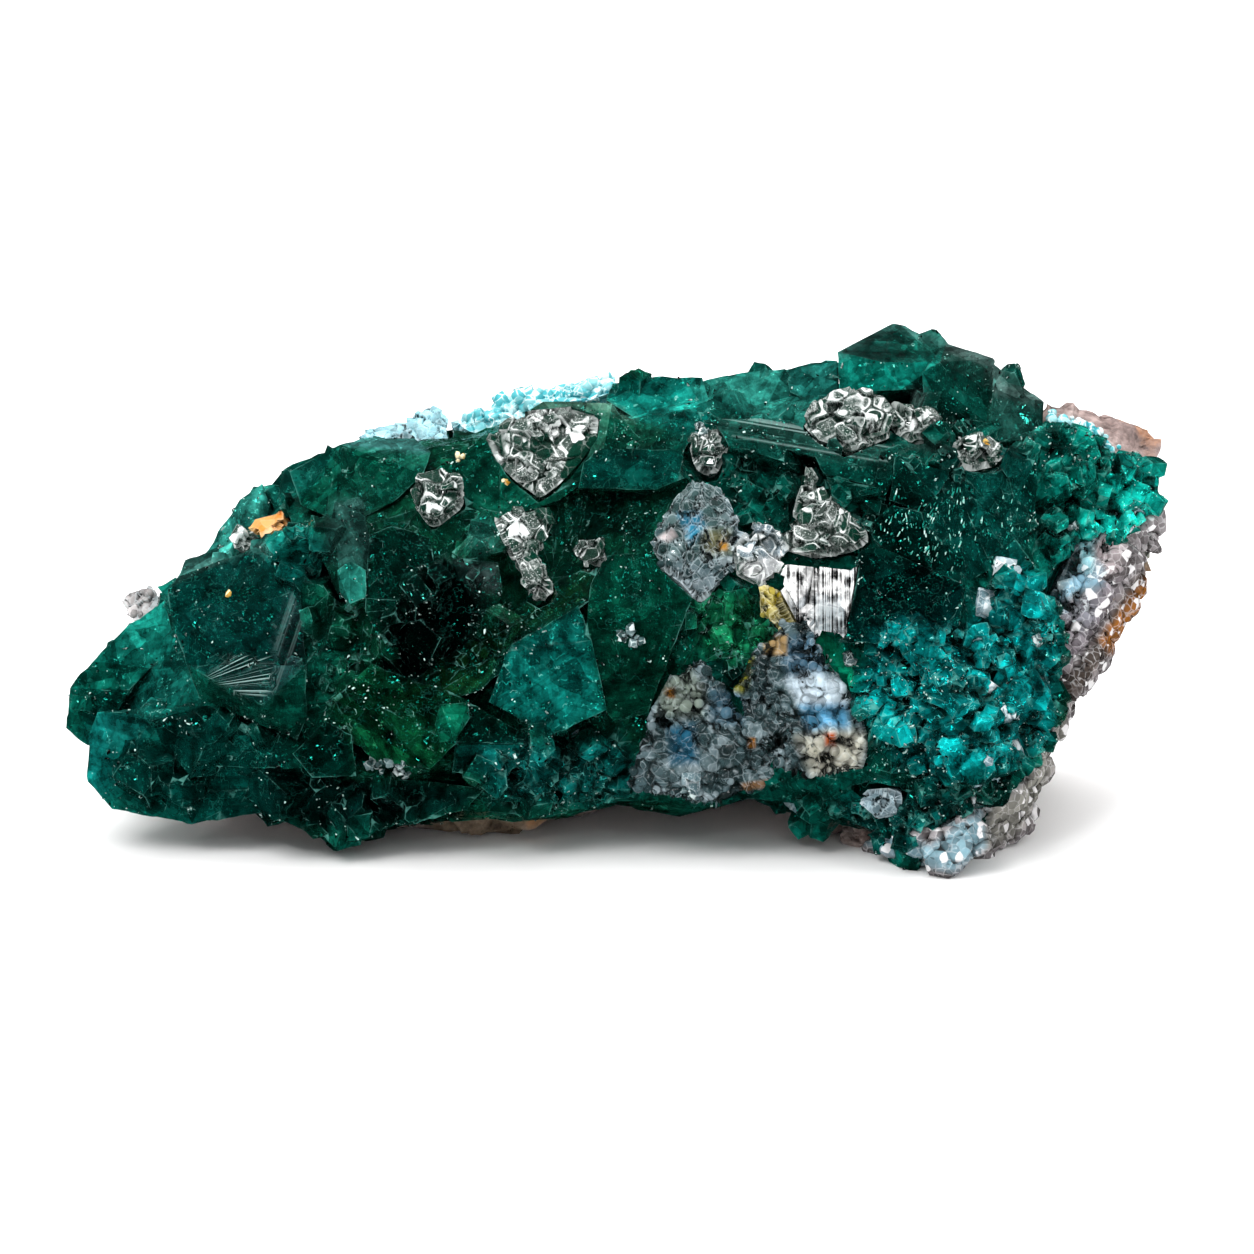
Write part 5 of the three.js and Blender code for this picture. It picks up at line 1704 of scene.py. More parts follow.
    def _finish_surface(self, piece: Piece) -> None:
        """Breaks the crust's faces a little, and writes its colours, with the openness, ridges and line sheen
        that the finish turns into painted shade, highlight and sheen.

        Args:
            piece: The crust, with its small crystals.
        """
        mesh = piece.data
        places = places_of(mesh)
        directions = directions_of(mesh)
        eye = Vector(PICTURE.eye)
        outside = fresh_tree(mesh)
        seen = np.array([
            outside.ray_cast(start := Vector(place + way * 0.03 * MM), (eye - start).normalized())[0] is None
            for place, way in zip(places, directions)
        ])
        looks = painted(places, seen)
        broken = looks[:, 4]
        facet = facets_of(mesh)
        count = np.bincount(facet)
        tones = np.random.default_rng(self.seed).random(len(count))[facet]
        lines = growth_lines(mesh, facet, seen, self.line_mm, self.lined_mm2, self.seed)
        sizes = np.bincount(facet, face_areas(mesh))[facet] / (self.calm_mm2 * MM**2)
        tones = 0.5 + (tones - 0.5) / np.maximum(sizes, 1) ** 0.5
        local = looks[:, :4][triangles_of(mesh)].mean(axis=1)
        whole = np.stack([np.bincount(facet, channel) / count for channel in local.T], axis=1)[facet]
        # openness, which the finish darkens as painted shade
        open_to_light = openness(mesh, self.shade_mm, self.shade_rays, outside)
        rng = np.random.default_rng(self.seed)
        rough = tilted_plates(places, self.plate_mm, self.plate_slope, self.seed)
        jitter = rng.uniform(-self.jitter_mm, self.jitter_mm, len(places)) * MM
        height = (rough + jitter * broken) * broken
        put_places(mesh, keep_in_box(places + directions * (height - self.sunk_mm * MM)[:, None]))
        pixels = PICTURE.pixels_of(places)
        fan = (Outline(FAN_CORNERS).distance(pixels) > 0) & seen
        turn = np.arctan2(pixels[:, 1] - FAN_PIVOT[1], pixels[:, 0] - FAN_PIVOT[0])
        for name, domain, values in (
            ("tint", "FACE", whole * self.facet_share + local * (1 - self.facet_share)),
            ("open", "POINT", open_to_light),
            ("wear", "POINT", np.clip(broken, 0, 1) ** 1.6),
            ("tone", "FACE", tones),
            ("lines", "FACE", lines),
            ("ridge", "POINT", ridges_of(mesh)),
            ("line_sheen", "POINT", looks[:, 5]),
            ("fan", "POINT", np.where(fan, turn / FAN_STEP, 0)),
        ):
            put_values(mesh, name, domain, values)
        LOG.info("crust: %d of %d vertices show", int(seen.sum()), len(seen))


def fresh_tree(mesh: Mesh) -> BVHTree:
    """Builds a search tree over a mesh of triangles."""
    return BVHTree.FromPolygons(places_of(mesh).tolist(), triangles_of(mesh).tolist())


def growth_lines(
    mesh: Mesh, facet: np.ndarray, seen: np.ndarray, spacing_mm: float, smallest_mm2: float, seed: int,
) -> np.ndarray:
    """Finds the way across the growth lines of each face.

    Args:
        mesh: A mesh of triangles.
        facet: The number of the facet that each lies in.
        seen: Whether each vertex shows in the picture.
        spacing_mm: How far apart the lines are.
        smallest_mm2: Smaller facets have none.
        seed: The seed of the directions that no zone gives.

    Returns:
        One direction a row, as long as there are lines in a metre, or zero.
    """
    rng = np.random.default_rng(seed)
    along = rng.normal(size=(int(facet.max()) + 1, 3))[facet]
    pixels = PICTURE.pixels_of(middles_of(mesh))
    shown = seen[triangles_of(mesh)].any(axis=1)
    lined = np.zeros(len(facet), bool)
    for zone in ZONES:
        if zone.lines is not None:
            inside = (Outline(zone.corners).distance(pixels) > 0) & shown
            along[inside] = PICTURE.rising(zone.lines)
            lined |= inside
    fan = (Outline(FAN_CORNERS).distance(pixels) > 0) & shown
    plane = np.where(lined[:, None], PICTURE.forward, face_normals(mesh))
    across = np.cross(plane, along)
    across /= np.maximum(np.linalg.norm(across, axis=1), 1e-9)[:, None]
    large = np.bincount(facet, face_areas(mesh))[facet] > smallest_mm2 * MM**2
    return across * (((large | lined) & ~fan) / (spacing_mm * MM))[:, None]


def facets_of(mesh: Mesh) -> np.ndarray:
    """Numbers the flat facets of a mesh.

    Args:
        mesh: A mesh of triangles.

    Returns:
        The number of the facet that each triangle lies in.
    """
    normals = face_normals(mesh)
    reach = np.sum(middles_of(mesh) * normals, axis=1) / (FACET_APART_MM * MM)
    keys = np.round(np.column_stack([normals * FACET_TURNS, reach])).astype(int)
    _, facet = np.unique(keys, axis=0, return_inverse=True)
    return facet.ravel()


CRUST_TREE = tree_of(["dioptase_crust"])
PATCH_TREE = tree_of([node for node in frame["nodes"] if node not in ("dioptase_crust", "host_rock")])

# The left block's fan of lines: the pixel that they spread from, and the angle from line to line.
FAN_PIVOT = (180.0, 690.0)
FAN_STEP = math.radians(2.2)
FAN_CORNERS = (222, 650, 278, 656, 268, 706, 198, 684)


@dataclass
class HostRock:
    """The slab of rock under the crust, broken off flat behind and below."""

    grown_mm: float = 0.45
    finest_mm: float = 0.6
    roughness_mm: float = 0.45
    lump_mm: float = 3.0
    plate_mm: float = 1.6
    plate_slope: float = 0.25
    stain_mm: float = 6.0
    seed: int = 41

    def build(self) -> None:
        """Builds the rock and dresses it."""
        piece = merged_copy("host_rock", "rock_slab")
        split_long_edges(piece, self.finest_mm, 7)
        mesh = piece.data
        places = places_of(mesh)
        directions = directions_of(mesh)
        lumps = rough_noise(places, self.lump_mm, 4)
        plates = tilted_plates(places, self.plate_mm, self.plate_slope, self.seed)
        height = (lumps - 0.6) * self.roughness_mm * MM + plates
        height = np.where(vertex_shown(mesh), height, self.grown_mm * MM)
        moved = keep_in_box(places + directions * height[:, None])
        put_places(mesh, moved)
        drift = rough_noise(moved, self.stain_mm, 2)
        put_values(mesh, "tint", "POINT", overlay(moved, ROCK_ZONES))
        put_values(mesh, "stain", "POINT", np.clip(drift - 0.1, 0, 0.6))
        # painted shade: how dark each low place of the lumps is drawn
        put_values(mesh, "hollow", "POINT", np.clip(-lumps * 0.8 - 0.1, 0, 0.8))
        dress(piece, RockFinish().material(), "host_rock", "host_rock")


class Relief(Enum):
    """How a patch's surface is broken."""

    PLATES = "cracked flat plates"
    LUMPS = "rounded lumps of fine grains"
    FLAT = "flat and smooth"


# Colours that show on the patches, laid over each other in this order. A few are painted light, as marked
# below.
PATCH_ZONES = (
    Zone("druse_grey", "#3e5558", (655, 640, 870, 600, 870, 800, 640, 800), 20, strength=0.6),
    Zone("druse_left_top", "#8c9a8c", (659, 682, 690, 670, 704, 690, 701, 715, 659, 715), 5, strength=0.8),
    Zone("druse_left_blue", "#1f566f", (668, 728, 694, 724, 697, 762, 672, 764), 5),
    Zone("druse_middle", "#3a6074", (710, 690, 744, 691, 742, 724, 712, 722), 5, strength=0.8),
    Zone("druse_top_blue", "#446a82", (775, 640, 812, 635, 828, 680, 790, 678), 6, strength=0.8),
    Zone("druse_white", "#d6e8f4", (786, 680, 815, 672, 848, 684, 846, 708, 800, 706), 5, strength=0.8),
    Zone("druse_sky", "#5aa4cc", (800, 706, 846, 706, 848, 730, 808, 732), 5),
    Zone("druse_tan", "#c2c0b0", (797, 738, 830, 728, 866, 735, 858, 776, 812, 774), 7),
    Zone("druse_rust", "#a84a14", (825, 733, 836, 733, 836, 746, 825, 746), 2),
    Zone("druse_yellow", "#75751f", (731, 659, 754, 657, 753, 668, 745, 694, 731, 690), 3),
    Zone("druse_buff", "#ad8f5f", (764, 635, 787, 635, 787, 655, 764, 655), 2),
    # painted shade: the druse's hollow drawn near-black
    Zone("druse_dark_shade", "#040c0a", (720, 654, 733, 656, 742, 684, 722, 688), 3),
    Zone("druse_ochre_one", "#86560f", (667, 688, 675, 688, 675, 698, 667, 698), 1.5),
    Zone("druse_ochre_two", "#a5680f", (748, 738, 755, 738, 755, 748, 748, 748), 1.5),
    Zone("druse_ochre_three", "#7d5014", (741, 783, 768, 779, 768, 788, 741, 792), 1.5, strength=0.7),
    Zone("upper_grey", "#3a5a57", (668, 462, 720, 462, 735, 560, 655, 560), 8, strength=0.7),
    Zone("upper_sky", "#2f87a8", (678, 514, 700, 512, 706, 532, 690, 543), 4),
    Zone("upper_ochre", "#6f693f", (700, 530, 730, 530, 732, 552, 706, 556), 5, strength=0.8),
    Zone("upper_gold", "#b88018", (719, 541, 727, 541, 727, 550, 719, 550), 1.5),
    Zone("upper_pink", "#e6dada", (657, 538, 672, 528, 677, 536, 668, 542), 2),
    Zone("star_blue", "#93aab8", (738, 530, 775, 518, 788, 556, 770, 566, 738, 556), 4, strength=0.8),
    Zone("star_white", "#f4f8fa", (739, 562, 778, 556, 786, 560, 766, 584, 744, 576), 3),
    # painted highlight: the blade's mirror-like white reflection
    Zone("blade_white_highlight", "#ffffff", (780, 556, 812, 560, 846, 570, 842, 596, 808, 592, 796, 604, 782, 584),
        2, strength=0.9),
    # painted shade: the dark gap in the blade
    Zone("blade_gap_shade", "#101c1a", (815, 567, 821, 568, 812, 606, 806, 620, 802, 612), 1.2),
    Zone("blade_low", "#6d787c", (818, 600, 852, 606, 850, 646, 816, 642), 3, strength=0.6),
    Zone("left_rim_white", "#cfc9c8", (115, 578, 165, 575, 165, 625, 115, 625), 3, strength=0.9),
    Zone("stub_pale", "#7f98a2", (856, 788, 905, 788, 905, 820, 856, 820), 3, strength=0.8),
    Zone("rim_blue", "#a9dfea", (345, 448, 375, 422, 415, 392, 458, 392, 464, 428, 440, 446), 3),
    Zone("edge_frame", "#86b2c6", (1053, 604, 1080, 566, 1103, 580, 1100, 615, 1080, 634), 4),
    Zone("edge_gap", "#3d5c56", (1066, 596, 1090, 586, 1095, 597, 1072, 610), 3),
    Zone("edge_cyan", "#8ccbd4", (1080, 540, 1097, 537, 1096, 566, 1082, 562), 3),
    Zone("edge_pink", "#a79c9e", (1093, 545, 1110, 530, 1124, 545, 1118, 576, 1097, 572), 4),
    Zone("band_lilac", "#756e74", (1040, 640, 1063, 600, 1122, 575, 1113, 611, 1085, 652, 1054, 682), 5,
        strength=0.9),
    Zone("band_brown", "#4c423b", (1150, 560, 1108, 655, 1067, 712, 1054, 692, 1090, 645, 1125, 590), 4,
        strength=0.9),
    Zone("band_ochre", "#8f5a26", (1152, 566, 1158, 588, 1112, 654, 1100, 640, 1128, 600), 3),
    Zone("band_low", "#7d7c74", (1063, 712, 1070, 730, 1040, 800, 1017, 835, 985, 850, 985, 810, 1022, 788),
        5, strength=0.9),
    Zone("band_foot", "#7fa6b3", (954, 829, 981, 811, 985, 847, 954, 872, 899, 860, 858, 840, 899, 834, 931,
        847), 5, strength=0.9),
)

ROCK_ZONES = (
    Zone("top_pink", "#a08a86", (1035, 385, 1170, 410, 1170, 480, 1100, 440), 10, strength=0.7),
    Zone("edge_green", "#7f9086", (1120, 533, 1160, 510, 1155, 583, 1118, 590), 6, strength=0.6),
    Zone("edge_lilac", "#857d83", (1040, 589, 1120, 589, 1110, 640, 1060, 665, 1040, 650), 8, strength=0.6),
    Zone("edge_ochre", "#b0702c", (1100, 640, 1118, 605, 1135, 575, 1152, 560, 1150, 600, 1118, 650), 5,
        strength=0.9),
    Zone("edge_rust", "#96401a", (1108, 628, 1122, 612, 1126, 620, 1112, 634), 2),
    Zone("edge_dark", "#2f2925", (1058, 672, 1090, 645, 1112, 640, 1095, 690, 1060, 720), 6, strength=0.9),
    Zone("foot_grey", "#8a8a86", (1020, 700, 1062, 712, 1045, 790, 1000, 870, 930, 872, 960, 800), 10,
        strength=0.7),
    Zone("low_brown", "#7c6a50", (430, 795, 560, 785, 560, 850, 430, 850), 8, strength=0.7),
)


@dataclass(frozen=True)
class Patch:
    """A patch of another mineral on the crust, with grains standing on it."""

    node: str
    name: str
    finish: ClearFinish
    slot: str
    relief: Relief
    cell_mm: float
    habit: Habit
    grains: int
    grain_mm: tuple[float, float]
    rise: float = 0.0
    finest_mm: float = 0.16
    grown_mm: float = 0.34
    shade_mm: float = 0.9
    lump_mm: float = 1.7
    lump_fall: float = 0.5
    line_mm: float = 0.0
    # painted highlight: how strong the light rim round each lump is
    rim: float = 0.75

    def build(self, material: Material) -> None:
        """Builds the patch and its grains, and dresses them.

        Args:
            material: The finish's material.
        """
        seed = sum(map(ord, self.name))
        rng = random.Random(seed)
        piece = merged_copy(self.node, self.name)
        split_long_edges(piece, self.finest_mm, 7)
        mesh = piece.data
        places = places_of(mesh)
        directions = directions_of(mesh)
        shown = vertex_shown(mesh)
        spots = np.vstack([places, middles_of(mesh)])
        count = len(places)
        curved = swayed(spots, SWAY_MM, 0.4 * self.cell_mm)
        height = np.where(shown, self._height(curved, seed)[:count], self.grown_mm * MM)
        put_places(mesh, keep_in_box(places + directions * height[:, None]))
        tones = np.random.default_rng(seed).random(int(1e5))
        cell, _, _, gap = cells_round(curved, self.cell_mm, seed)
        gap = gap[:count] / (self.cell_mm * MM)
        clear = overlay(spots, CLEAR_ZONES)[:, 3]
        put_values(mesh, "tone", "FACE", tones[cell[count:] % len(tones)] * (clear[count:] < 0.5))
        # painted highlight: the finish whitens these ridges
        ridge = ridges_of(mesh) * 0.8 * (1 - clear[:count])
        if self.relief is Relief.LUMPS:
            # painted rim highlight round each lump, a little inside its edge
            ridge = np.clip(1 - abs(gap - 0.24) / 0.14, 0, 1) * self.rim
            mesh.shade_smooth()
        else:
            put_values(mesh, "gap", "POINT", np.where(clear[:count] > 0.5, 1, gap))
        put_values(mesh, "ridge", "POINT", ridge)
        shade = fresh_tree(mesh)
        self._put_looks(mesh, shade)
        dress(piece, material, self.slot, self.node)
        seats = self._seats(mesh, rng)
        if seats:
            grains = joined_crystals(self.name + "_grains", self.habit, seats, rng)
            self._put_looks(grains.data, shade)
            dress(grains, material, self.slot)

    def _height(self, places: np.ndarray, seed: int) -> np.ndarray:
        """Gives the height of the patch's surface over its solid, at each place.

        Args:
            places: One place a row.
            seed: The patch's seed.

        Returns:
            The heights.
        """
        _, _, near, gap = cells_round(places, self.cell_mm, seed)
        spacing = self.cell_mm * MM
        if self.relief is Relief.PLATES:
            crack = np.clip(1 - gap / (0.16 * spacing), 0, 1)
            return tilted_plates(places, self.cell_mm, 0.35, seed) - crack * 0.08 * MM
        if self.relief is Relief.FLAT:
            return rough_noise(places, 2.0) * 0.03 * MM - 0.03 * MM
        lump = cells_round(places, self.lump_mm, seed + 5)[2]
        fall = self.lump_fall * lump**2 / (self.lump_mm * MM)
        return 0.25 * MM - fall - 0.9 * near**2 / spacing

    def _put_looks(self, mesh: Mesh, shade: BVHTree) -> None:
        """Writes the openness that the finish darkens as painted shade, and the tints and lines that it
        reads.

        Args:
            mesh: The mesh of the patch or of its grains.
            shade: What stands between it and the light.
        """
        put_values(mesh, "open", "POINT", openness(mesh, self.shade_mm, 6, shade))
        put_values(mesh, "tint", "POINT", overlay(places_of(mesh), PATCH_ZONES))
        if self.line_mm:
            across = [1 / (self.line_mm * MM), 0, 0]
            put_values(mesh, "lines", "POINT", np.tile(across, (len(mesh.vertices), 1)))

    def _seats(self, mesh: Mesh, rng: random.Random) -> list[Seat]:
        """Seats the grains on the faces that show.

        Args:
            mesh: The patch's mesh.
            rng: The source of random numbers.

        Returns:
            Their seats.
        """
        seats: list[Seat] = []
        for place, normal in faces_at_random(mesh, face_areas(mesh), 30 * self.grains, rng):
            if len(seats) == self.grains:
                break
            if SOLIDS.ray_cast(place + normal * 0.3 * MM, normal, 1.5 * MM)[0] is None:
                seats.append(seated(place, normal, rng.uniform(*self.grain_mm), self.rise, 0.7, rng))
        return seats


def calcite(node: str, name: str, cell_mm: float, grains: int, grain_mm: tuple[float, float]) -> Patch:
    """Describes a patch of calcite: cracked plates with a few rhombs on them."""
    return Patch(node, name, CALCITE, "calcite", Relief.PLATES, cell_mm, Habit.RHOMB, grains, grain_mm, -0.2)


def druse(node: str, name: str, grains: int, cell_mm: float = 0.85) -> Patch:
    """Describes a patch of quartz druse: rounded lumps of fine grains."""
    return Patch(node, name, QUARTZ, "quartz", Relief.LUMPS, cell_mm, Habit.DROP, grains, (0.35, 0.9))


def points(node: str, name: str, grains: int) -> Patch:
    """Describes a single large quartz crystal with small points on it."""
    return Patch(node, name, QUARTZ, "quartz", Relief.PLATES, 0.8, Habit.POINT, grains, (0.4, 0.9), rise=0.1)


def blade(node: str, name: str) -> Patch:
    """Describes a pearly blade with upright lines."""
    return Patch(node, name, PEARLY, "pearly_blade", Relief.FLAT, 0.8, Habit.CHIP, 0, (0.4, 0.8), line_mm=0.2)


# Parts of the calcite that are so clear that the dioptase behind them shows.
CLEAR_ZONES = (
    Zone("crown_right", "#08291f", (570, 449, 582, 430, 604, 436, 604, 470, 575, 505, 559, 478), 1),
    Zone("crown_left", "#08291f", (484, 466, 506, 462, 508, 480, 516, 496, 500, 510, 480, 490), 1),
    Zone("crown_window", "#08291f", (532, 436, 547, 432, 553, 452, 541, 464, 530, 452), 1),
)

PATCHES = (
    calcite("calcite_crown", "crown_calcite", 1.7, 5, (0.5, 1.0)),
    calcite("calcite_tuft", "tuft_calcite", 1.2, 3, (0.5, 1.0)),
    calcite("calcite_patch", "patch_calcite", 1.7, 2, (0.5, 1.0)),
    calcite("calcite_disc", "disc_calcite", 1.4, 0, (0.4, 0.8)),
    calcite("calcite_spur", "spur_calcite", 1.1, 4, (0.5, 1.0)),
    calcite("calcite_nugget", "nugget_calcite", 1.0, 2, (0.4, 0.8)),
    calcite("calcite_star", "star_calcite", 1.4, 2, (0.5, 0.9)),
    calcite("calcite_fan", "fan_calcite", 1.3, 3, (0.5, 1.0)),
    calcite("calcite_speck", "speck_calcite", 0.8, 3, (0.4, 0.8)),
    calcite("white_rhomb", "white_rhomb_calcite", 1.1, 0, (0.4, 0.8)),
    Patch("quartz_druse_upper", "upper_druse", QUARTZ, "quartz", Relief.PLATES, 0.8, Habit.DROP, 16,
          (0.3, 0.6)),
    druse("quartz_druse_right", "right_druse", 120),
    druse("quartz_druse_left", "left_druse", 110),
    druse("quartz_druse_edge", "edge_druse", 40, 0.9),
    points("quartz_stub", "stub_quartz", 0),
    points("quartz_foot", "foot_quartz", 14),
    points("rim_quartz", "rim_quartz_points", 16),
    points("left_rim_quartz", "left_rim_quartz_points", 8),
    blade("pearly_blade_left", "left_pearly_blade"),
    blade("pearly_blade_right", "right_pearly_blade"),
    Patch("yellow_crystals", "yellow_points", YELLOW, "yellow_crystals", Relief.PLATES, 1.2, Habit.DROP, 12,
          (0.3, 0.7)),
    Patch("cyan_rim", "cyan_rim_crystals", CYAN, "cyan_rim", Relief.PLATES, 1.0, Habit.RHOMB, 60, (0.4, 0.9)),
    Patch("orange_plate", "orange_wulfenite", ORANGE, "orange_plate", Relief.FLAT, 1.2, Habit.CHIP, 0,
          (0.4, 0.8)),
)


@dataclass(frozen=True)
class Scatter:
    """Small crystals of one kind that cover parts of the crust."""

    name: str
    finish: ClearFinish
    slot: str
    habit: Habit
    areas: tuple[tuple[Corners, int], ...]  # outlines in the picture, with a count for each
    width_mm: tuple[float, float]
    rise: float = 0.0
    stretch: float = 1.0
    along: float | None = None  # degrees that they rise to the right in the picture, where they lie flat
    seed: int = 5

    def build(self) -> None:
        """Builds the crystals as one piece and dresses them."""
        rng = random.Random(self.seed)
        seats = [
            self._seat(place, normal, width, rng)
            for corners, count in self.areas
            for place, normal, width in in_view(corners, count, SOLIDS, self.width_mm, rng)
        ]
        piece = joined_crystals(self.name, self.habit, seats, rng)
        mesh = piece.data
        # openness, which the finish darkens as painted shade
        put_values(mesh, "open", "POINT", openness(mesh, 0.9, 5, fresh_tree(mesh)))
        put_values(mesh, "tint", "POINT", overlay(places_of(mesh), PATCH_ZONES))
        dress(piece, self.finish.material(), self.slot)

    def _seat(self, place: Vector, normal: Vector, width: float, rng: random.Random) -> Seat:
        """Seats one crystal, standing on the surface or lying on it.

        Args:
            place: The point of the surface.
            normal: The way that the surface faces there.
            width: The crystal's width in millimetres.
            rng: The source of random numbers.

        Returns:
            The seat.
        """
        if self.along is None:
            return seated(place, normal, width, self.rise, 0.7, rng, self.stretch)
        way = Vector(PICTURE.rising(self.along))
        flat = lean((way - normal * way.dot(normal)).normalized(), 0.45, rng)
        width *= MM
        return Seat(place + normal * width * self.rise, flat, rng.uniform(0, math.tau), width,
                    self.stretch * rng.uniform(0.25, 1.5))


def spot(across: float, down: float, width: float) -> Corners:
    """Outlines a small five-sided area round a pixel.

    Args:
        across: The pixel's place from the left.
        down: Its place from the top.
        width: The area's width.

    Returns:
        The outline's corners.
    """
    return tuple(
        value
        for turn in (math.tau * side / 5 for side in range(5))
        for value in (across + math.cos(turn) * width / 2, down + math.sin(turn) * width / 2)
    )


GOLD_SPOTS = ((228, 591, 9), (461, 458, 10), (1137, 478, 13), (507, 482, 9), (1046, 430, 10), (985, 442, 9))
CHIP_SPOTS = (
    (383, 770, 30), (400, 772, 18), (372, 764, 16), (627, 632, 20), (636, 640, 12), (583, 748, 26),
    (567, 782, 20), (522, 784, 22), (1005, 570, 18), (1010, 717, 18), (1030, 680, 14), (1056, 690, 14),
    (977, 758, 18), (1010, 756, 22), (976, 800, 16), (1129, 516, 16), (1075, 530, 12), (1136, 545, 12),
    (700, 430, 14), (689, 792, 16), (1035, 640, 14), (850, 660, 12), (965, 640, 12),
)
UPPER_BAND = (1158, 515, 1165, 530, 1140, 590, 1108, 655, 1067, 712, 1052, 700, 1045, 650, 1085, 620, 1105,
    560, 1130, 535)
LOWER_BAND = (1056, 712, 1066, 722, 1042, 796, 1019, 832, 985, 850, 981, 812, 1022, 788, 1040, 735)
FOOT_BAND = (981, 811, 985, 850, 954, 872, 899, 860, 845, 842, 899, 838, 931, 845, 954, 829)

PALE_BAND = (1048, 409, 1085, 422, 1124, 446, 1119, 457, 1080, 437, 1050, 420)
STROKE_AREAS = (
    ((924, 500, 940, 494, 942, 566, 924, 558), 45),
    ((948, 486, 966, 480, 962, 574, 944, 570), 45),
    ((884, 488, 922, 502, 922, 558, 880, 546, 866, 525), 55),
    ((972, 520, 1024, 480, 1030, 540, 978, 575), 24),
)
PLATE_SPOTS = (
    (1005, 564, 10), (1005, 576, 10), (990, 606, 6), (981, 643, 6), (988, 681, 12), (1010, 713, 10),
    (1031, 679, 6), (1054, 693, 8), (1004, 754, 8), (1014, 753, 8), (979, 757, 8), (985, 781, 8),
    (975, 800, 8), (960, 832, 10), (970, 838, 10), (1126, 516, 8), (583, 746, 8), (567, 780, 8),
    (690, 783, 4), (796, 806, 6), (1071, 590, 10), (1084, 612, 10), (1064, 620, 8), (1090, 570, 8),
    (930, 852, 10), (905, 850, 8), (948, 858, 8),
)

SCATTERS = (
    Scatter("gold_specks", GOLD, "yellow_crystals", Habit.CHIP, tuple((spot(*at), 3) for at in GOLD_SPOTS),
            (0.25, 0.4)),
    Scatter("quartz_chips", SILVER, "quartz", Habit.CHIP, tuple((spot(*at), 14) for at in CHIP_SPOTS),
            (0.12, 0.65), 0.05, 0.8),
    Scatter("edge_beads", EDGE, "quartz", Habit.DROP, ((UPPER_BAND, 240), (LOWER_BAND, 160), (FOOT_BAND, 80)),
            (0.5, 2.6), -0.06, 0.5),
    Scatter("pale_band", CYAN, "quartz", Habit.DROP, ((PALE_BAND, 60),), (0.3, 0.9), -0.1),
    Scatter("pale_plates", PALE, "quartz", Habit.CHIP, tuple((spot(*at), 2) for at in PLATE_SPOTS),
            (0.9, 1.8), 0.0, 0.6),
    # pale strokes along the prism's lines, in the finish whose pale colour is painted glint
    Scatter("bright_strokes", GLINT_DUST, "dioptase", Habit.CHIP, STROKE_AREAS, (0.04, 0.1), 0.3, 6.0, 76),
)


@dataclass
class Sparks:
    """Chips and crystal dust all over the dioptase: partly real dust, partly painted glints, as their pale
    colour stands in for glints.
    """

    count: int = 5200
    size_mm: tuple[float, float] = (0.035, 0.125)
    cloud_mm: float = 3.0
    seed: int = 77

    def build(self, crust: Piece) -> None:
        """Scatters the chips over the crust, most on its ridges, and dresses them as one piece.

        Args:
            crust: The finished crust.
        """
        rng = random.Random(self.seed)
        mesh = crust.data
        ridge = values_of(mesh.attributes["ridge"].data, "value")
        chances = face_areas(mesh) * (0.3 + 3 * ridge[triangles_of(mesh)].mean(axis=1))
        least, most = self.size_mm
        seats: list[Seat] = []
        for place, normal in faces_at_random(mesh, chances, 6 * self.count, rng):
            if len(seats) == self.count:
                break
            if noise.noise(place / (self.cloud_mm * MM)) < 0.0:
                continue
            if SOLIDS.ray_cast(place + normal * 0.3 * MM, normal, 3 * MM)[0] is None:
                width = (least + (most - least) * rng.random() ** 2.6) * MM
                along = lean(normal, 2, rng).cross(normal).normalized()
                seats.append(Seat(place + (normal * 0.3 + along) * width, along, rng.uniform(0, math.tau),
                                  width, rng.uniform(1, 4)))
        piece = joined_crystals("crystal_sparks", Habit.CHIP, seats, rng)
        put_values(piece.data, "open", "POINT", np.ones(len(piece.data.vertices)))
        dress(piece, GLINT_DUST.material(), "dioptase")


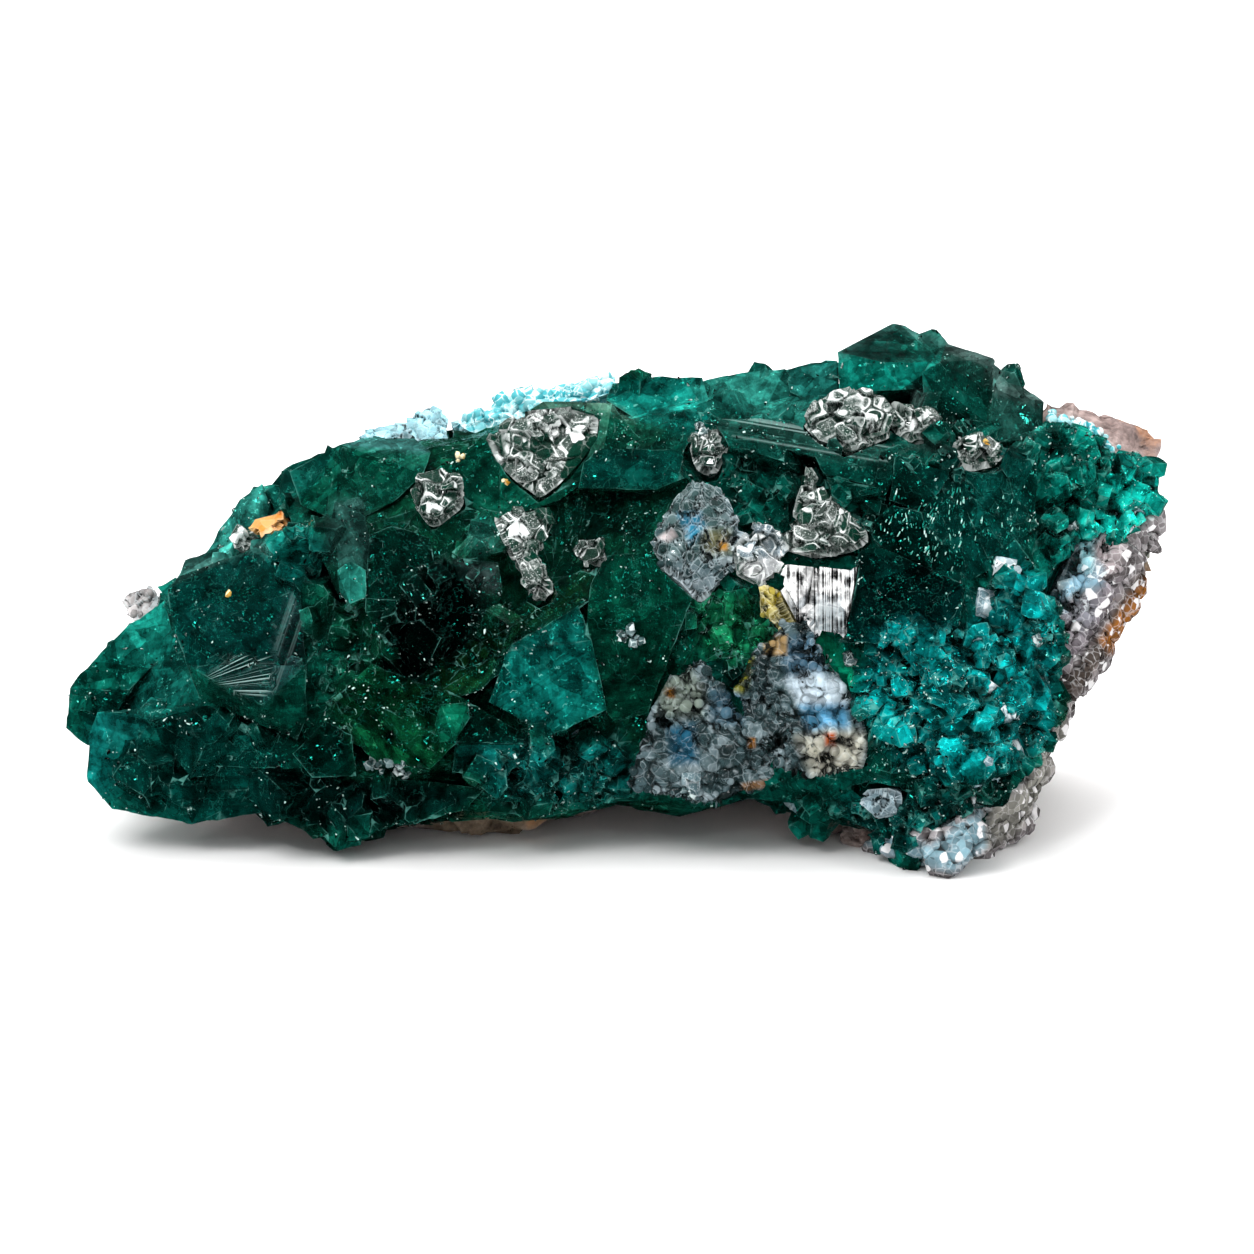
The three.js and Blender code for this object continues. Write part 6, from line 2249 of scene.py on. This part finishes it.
@dataclass
class Studio:
    """A white table under soft light, seen with the display side to the front."""

    table_radius: float = 3.0
    glint_size: float = 0.026
    glint_power: float = 0.1
    glints: tuple[tuple[float, float, float], ...] = (
        (-0.24, -0.30, 0.36), (0.30, -0.22, 0.30), (0.05, -0.05, 0.44), (-0.36, -0.12, 0.22),
        (0.08, -0.42, 0.28), (-0.10, -0.46, 0.12), (0.38, -0.05, 0.16),
    )
    aim: tuple[float, float, float] = (0.0, 0.0, 0.012)

    def build(self) -> None:
        """Adds the table, the lights, the sky and the camera."""
        self._table()
        self._sky()
        self._softbox("key_softbox", (-0.16, -0.22, 0.34), 0.22, 1.0, mirrored=False)
        self._softbox("back_softbox", (0.02, 0.26, 0.30), 0.34, 1.6, mirrored=False)
        for index, place in enumerate(self.glints):
            self._softbox(f"glint_{index}", place, self.glint_size, self.glint_power)
        PICTURE.add_camera()
        view = bpy.context.scene.view_settings
        view.view_transform = "Standard"
        view.look = "None"
        view.exposure = 0.0
        view.gamma = 1.0

    def _table(self) -> None:
        """Adds the white table top, dark to reflections."""
        bpy.ops.object.select_all(action="DESELECT")
        bpy.ops.mesh.primitive_circle_add(vertices=128, radius=self.table_radius, fill_type="NGON")
        table = bpy.context.object
        table.name = "white_table"
        material, add = new_material("matt_white_table")
        mirrored = add("LightPath").outputs["Is Glossy Ray"]
        top, dim = [add("BsdfDiffuse", [linear(colour)]) for colour in ("#f4f4f4", "#121212")]
        add("OutputMaterial", {"Surface": add("MixShader", [mirrored, top, dim])})
        table.data.materials.append(material)
        table.select_set(False)

    def _sky(self) -> None:
        """Adds the light from all round: bright overhead, and dark to reflections from low down."""
        world = bpy.data.worlds.new("studio_room")
        bpy.context.scene.world = world
        world.use_nodes = True
        world.node_tree.nodes.clear()
        add = partial(add_node, world.node_tree)
        up = add("SeparateXYZ", [add("TexCoord").outputs["Generated"]]).outputs["Z"]
        path = add("LightPath")
        diffuse = add("MapRange", [up, 0.0, 1.0, 0.3, 1.5])
        mirrored = add("MapRange", [up, 0.35, 0.9, 0.0, 0.1])
        level = add("Mix", [path.outputs["Is Glossy Ray"], diffuse, mirrored], data_type="FLOAT")
        shown = add("Mix", [path.outputs["Is Camera Ray"], level, 1.0], data_type="FLOAT")
        light = add("Background", [(1, 1, 1, 1), shown])
        add("OutputWorld", {"Surface": light})

    def _softbox(
        self, name: str, place: tuple[float, float, float], size: float, power: float, mirrored: bool = True,
    ) -> None:
        """Adds a square area light that faces the specimen's middle.

        Args:
            name: The light's name.
            place: Where it stands.
            size: The length of its side.
            power: Its power in watts.
            mirrored: Whether it shows in reflections.
        """
        data = bpy.data.lights.new(name, "AREA")
        data.size = size
        data.energy = power
        light = in_scene(name, data)
        light.location = place
        light.visible_glossy = mirrored
        light.rotation_euler = (Vector(self.aim) - Vector(place)).to_track_quat("-Z", "Y").to_euler()


def main() -> None:
    """Builds the specimen in order: rock, crust, patches and sparks, and then the studio."""
    logging.basicConfig(level=logging.INFO, format="%(name)s: %(message)s")
    HostRock().build()
    crust = Crust().build()
    materials: dict[str, Material] = {}
    for patch in PATCHES:
        if patch.finish.name not in materials:
            materials[patch.finish.name] = patch.finish.material()
        patch.build(materials[patch.finish.name])
    for group in SCATTERS:
        group.build()
    Sparks().build(crust)
    Studio().build()


if __name__ == "__main__":
    main()
